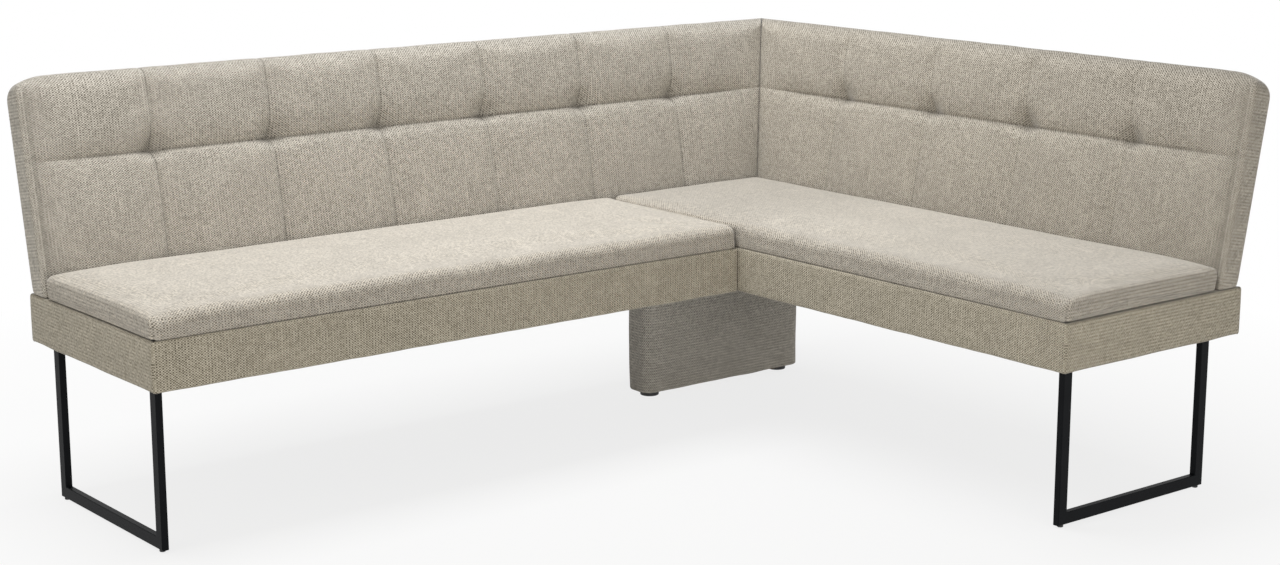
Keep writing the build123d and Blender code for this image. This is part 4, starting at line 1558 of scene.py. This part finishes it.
@dataclass(frozen=True)
class Lamp:
    """Soft area lamp of the studio.

    Attributes:
        name: Its name.
        place: Where it hangs.
        aim: Where it points.
        size: Its width and height.
        power: Its power.
        tint: Its colour.
    """

    name: str
    place: tuple
    aim: tuple
    size: tuple
    power: float
    tint: tuple

    def hang(self) -> None:
        """Add the lamp to the scene."""
        lamp = bpy.data.lights.new(self.name, "AREA")
        lamp.shape = "RECTANGLE"
        lamp.size, lamp.size_y = self.size
        lamp.energy = self.power
        lamp.color = self.tint
        holder = bpy.data.objects.new(self.name, lamp)
        holder.location = self.place
        holder.rotation_euler = (Vector(self.aim) - Vector(self.place)).to_track_quat("-Z", "Y").to_euler()
        bpy.context.scene.collection.objects.link(holder)


LAMPS = (
    Lamp("overhead_lamp", (0.0, 0.72, 3.0), (0.0, 0.68, 0.4), (3.0, 1.3), 88.0, (0.975, 0.985, 1.0)),
    Lamp("side_lamp", (-2.7, -0.3, 1.5), (-0.8, 0.5, 0.45), (1.2, 1.2), 9.0, (1.0, 0.97, 0.90)),
    Lamp("front_fill", (-0.5, -3.85, 0.8), (0.4, 0.2, 0.30), (2.2, 1.2), 33.0, (1.0, 0.98, 0.94)),
)


@dataclass(frozen=True)
class Studio:
    """White floor, soft light and the camera.

    Attributes:
        camera_place: Where the camera stands.
        turn: Its direction, in degrees from +Y towards +X.
        dip: How far it looks down, in degrees.
        focal_share: Focal length as a share of the picture's width.
        film_width: Width of the camera's film, in millimetres.
        sky: Strength of the even light all round.
        sky_tint: Colour of the even light.
        floor_size: Length of the floor's sides.
        floor_white: Share of plain white in what the camera sees of the floor by the bench.
        floor_clear: Where the floor turns plain white, from the middle.
    """

    camera_place: tuple = (-2.93891, -3.67329, 1.43978)
    turn: float = 38.60
    dip: float = 12.11
    focal_share: float = 2260.88 / 1280
    film_width: float = 36.0
    sky: float = 0.45
    sky_tint: tuple = (1.0, 0.98, 0.94, 1.0)
    floor_size: float = 40.0
    floor_white: float = 0.80
    floor_clear: tuple = (1.0, 2.4)

    def build(self) -> None:
        """Set up the floor, the light, the camera and the view."""
        self.lay_floor()
        self.fill_with_light()
        for lamp in LAMPS:
            lamp.hang()
        self.stand_camera()
        bpy.context.scene.view_settings.view_transform = "Standard"

    def lay_floor(self) -> None:
        """Lay a pale floor that is white to the camera and keeps the shadow."""
        deselect()
        place = (0, 0, -0.0005)
        size = self.floor_size
        bpy.ops.mesh.primitive_grid_add(x_subdivisions=4, y_subdivisions=4, size=size, location=place)
        floor = bpy.context.object
        floor.name = "studio_floor"
        paint = Recipe.start("pale_floor")
        paint.set(Base_Color=(0.62, 0.62, 0.62, 1.0), Roughness=0.9, Specular_IOR_Level=0.0)
        away = paint.add("ShaderNodeVectorMath", {0: paint.place()}, operation="LENGTH").outputs["Value"]
        clear = paint.span(away, self.floor_white, 1.0, *self.floor_clear)
        share = paint.math("MULTIPLY", paint.seen(), clear)
        white = paint.add("ShaderNodeEmission").outputs[0]
        paint.blend(share, paint.shader.outputs["BSDF"], white, "Material Output")
        floor.data.materials.append(paint.owner)

    def fill_with_light(self) -> None:
        """Set the even light all round, behind a white that only the camera sees."""
        air = Recipe(bpy.data.worlds.new("studio"))
        shown = air.tree.nodes["Background"]
        air.feed(shown.inputs["Color"], (1.0, 1.0, 1.0, 1.0))
        air.feed(shown.inputs["Strength"], 1.0)
        even = air.add("ShaderNodeBackground", {"Color": self.sky_tint, "Strength": self.sky})
        air.blend(air.seen(), even.outputs[0], shown.outputs[0], "World Output")
        bpy.context.scene.world = air.owner

    def stand_camera(self) -> None:
        """Stand the camera where the photograph was taken from."""
        camera = bpy.data.cameras.new("studio_camera")
        camera.sensor_width = self.film_width
        camera.lens = self.film_width * self.focal_share
        camera.clip_start = 0.05
        holder = bpy.data.objects.new("studio_camera", camera)
        holder.location = self.camera_place
        holder.rotation_euler = (math.radians(90.0 - self.dip), 0.0, math.radians(-self.turn))
        bpy.context.scene.collection.objects.link(holder)
        bpy.context.scene.camera = holder


def main() -> None:
    """Load the frame, dress it, build each soft piece in order and set up the studio."""
    logging.basicConfig(level=logging.INFO, format="%(name)s: %(message)s")
    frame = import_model()
    cloths = {}
    for name, tones in WEAVES.items():
        cloths[name] = WovenCloth(name, *(linear(*tone) for tone in tones)).build()
    dust, webbing = DUST_CLOTH.build(), WEBBING.build()
    finishes = {
        "black_steel": POWDER_COAT.build(),
        "black_plastic": MOULDED_PLASTIC.build(),
        "zinc_steel": ZINC_PLATE.build(),
        "frame_wood": PINE.build(),
        "plywood": PLYWOOD.build(),
    }
    finishes.update(dict.fromkeys(("webbing", "foam", "upholstery", "dust_cloth"), webbing))
    Hardware(finishes).dress(frame)
    makers = []
    for wing in WINGS:
        makers.append(SeatBox(wing, cloths["greige_weave_band"]))
        makers.append(SeatPad(wing, cloths["greige_weave_pad"]))
        makers.append(QuiltedBack(wing, cloths[wing.back_weave]))
        makers.append(DustCloth(wing, dust))
    makers.append(CornerPlinth(cloths["greige_weave_plinth_brightened"]))
    for maker in makers:
        piece = maker.build()
        LOG.info("%s: %d faces", piece.name, len(piece.data.polygons))
    Studio().build()
    deselect()


if __name__ == "__main__":
    main()
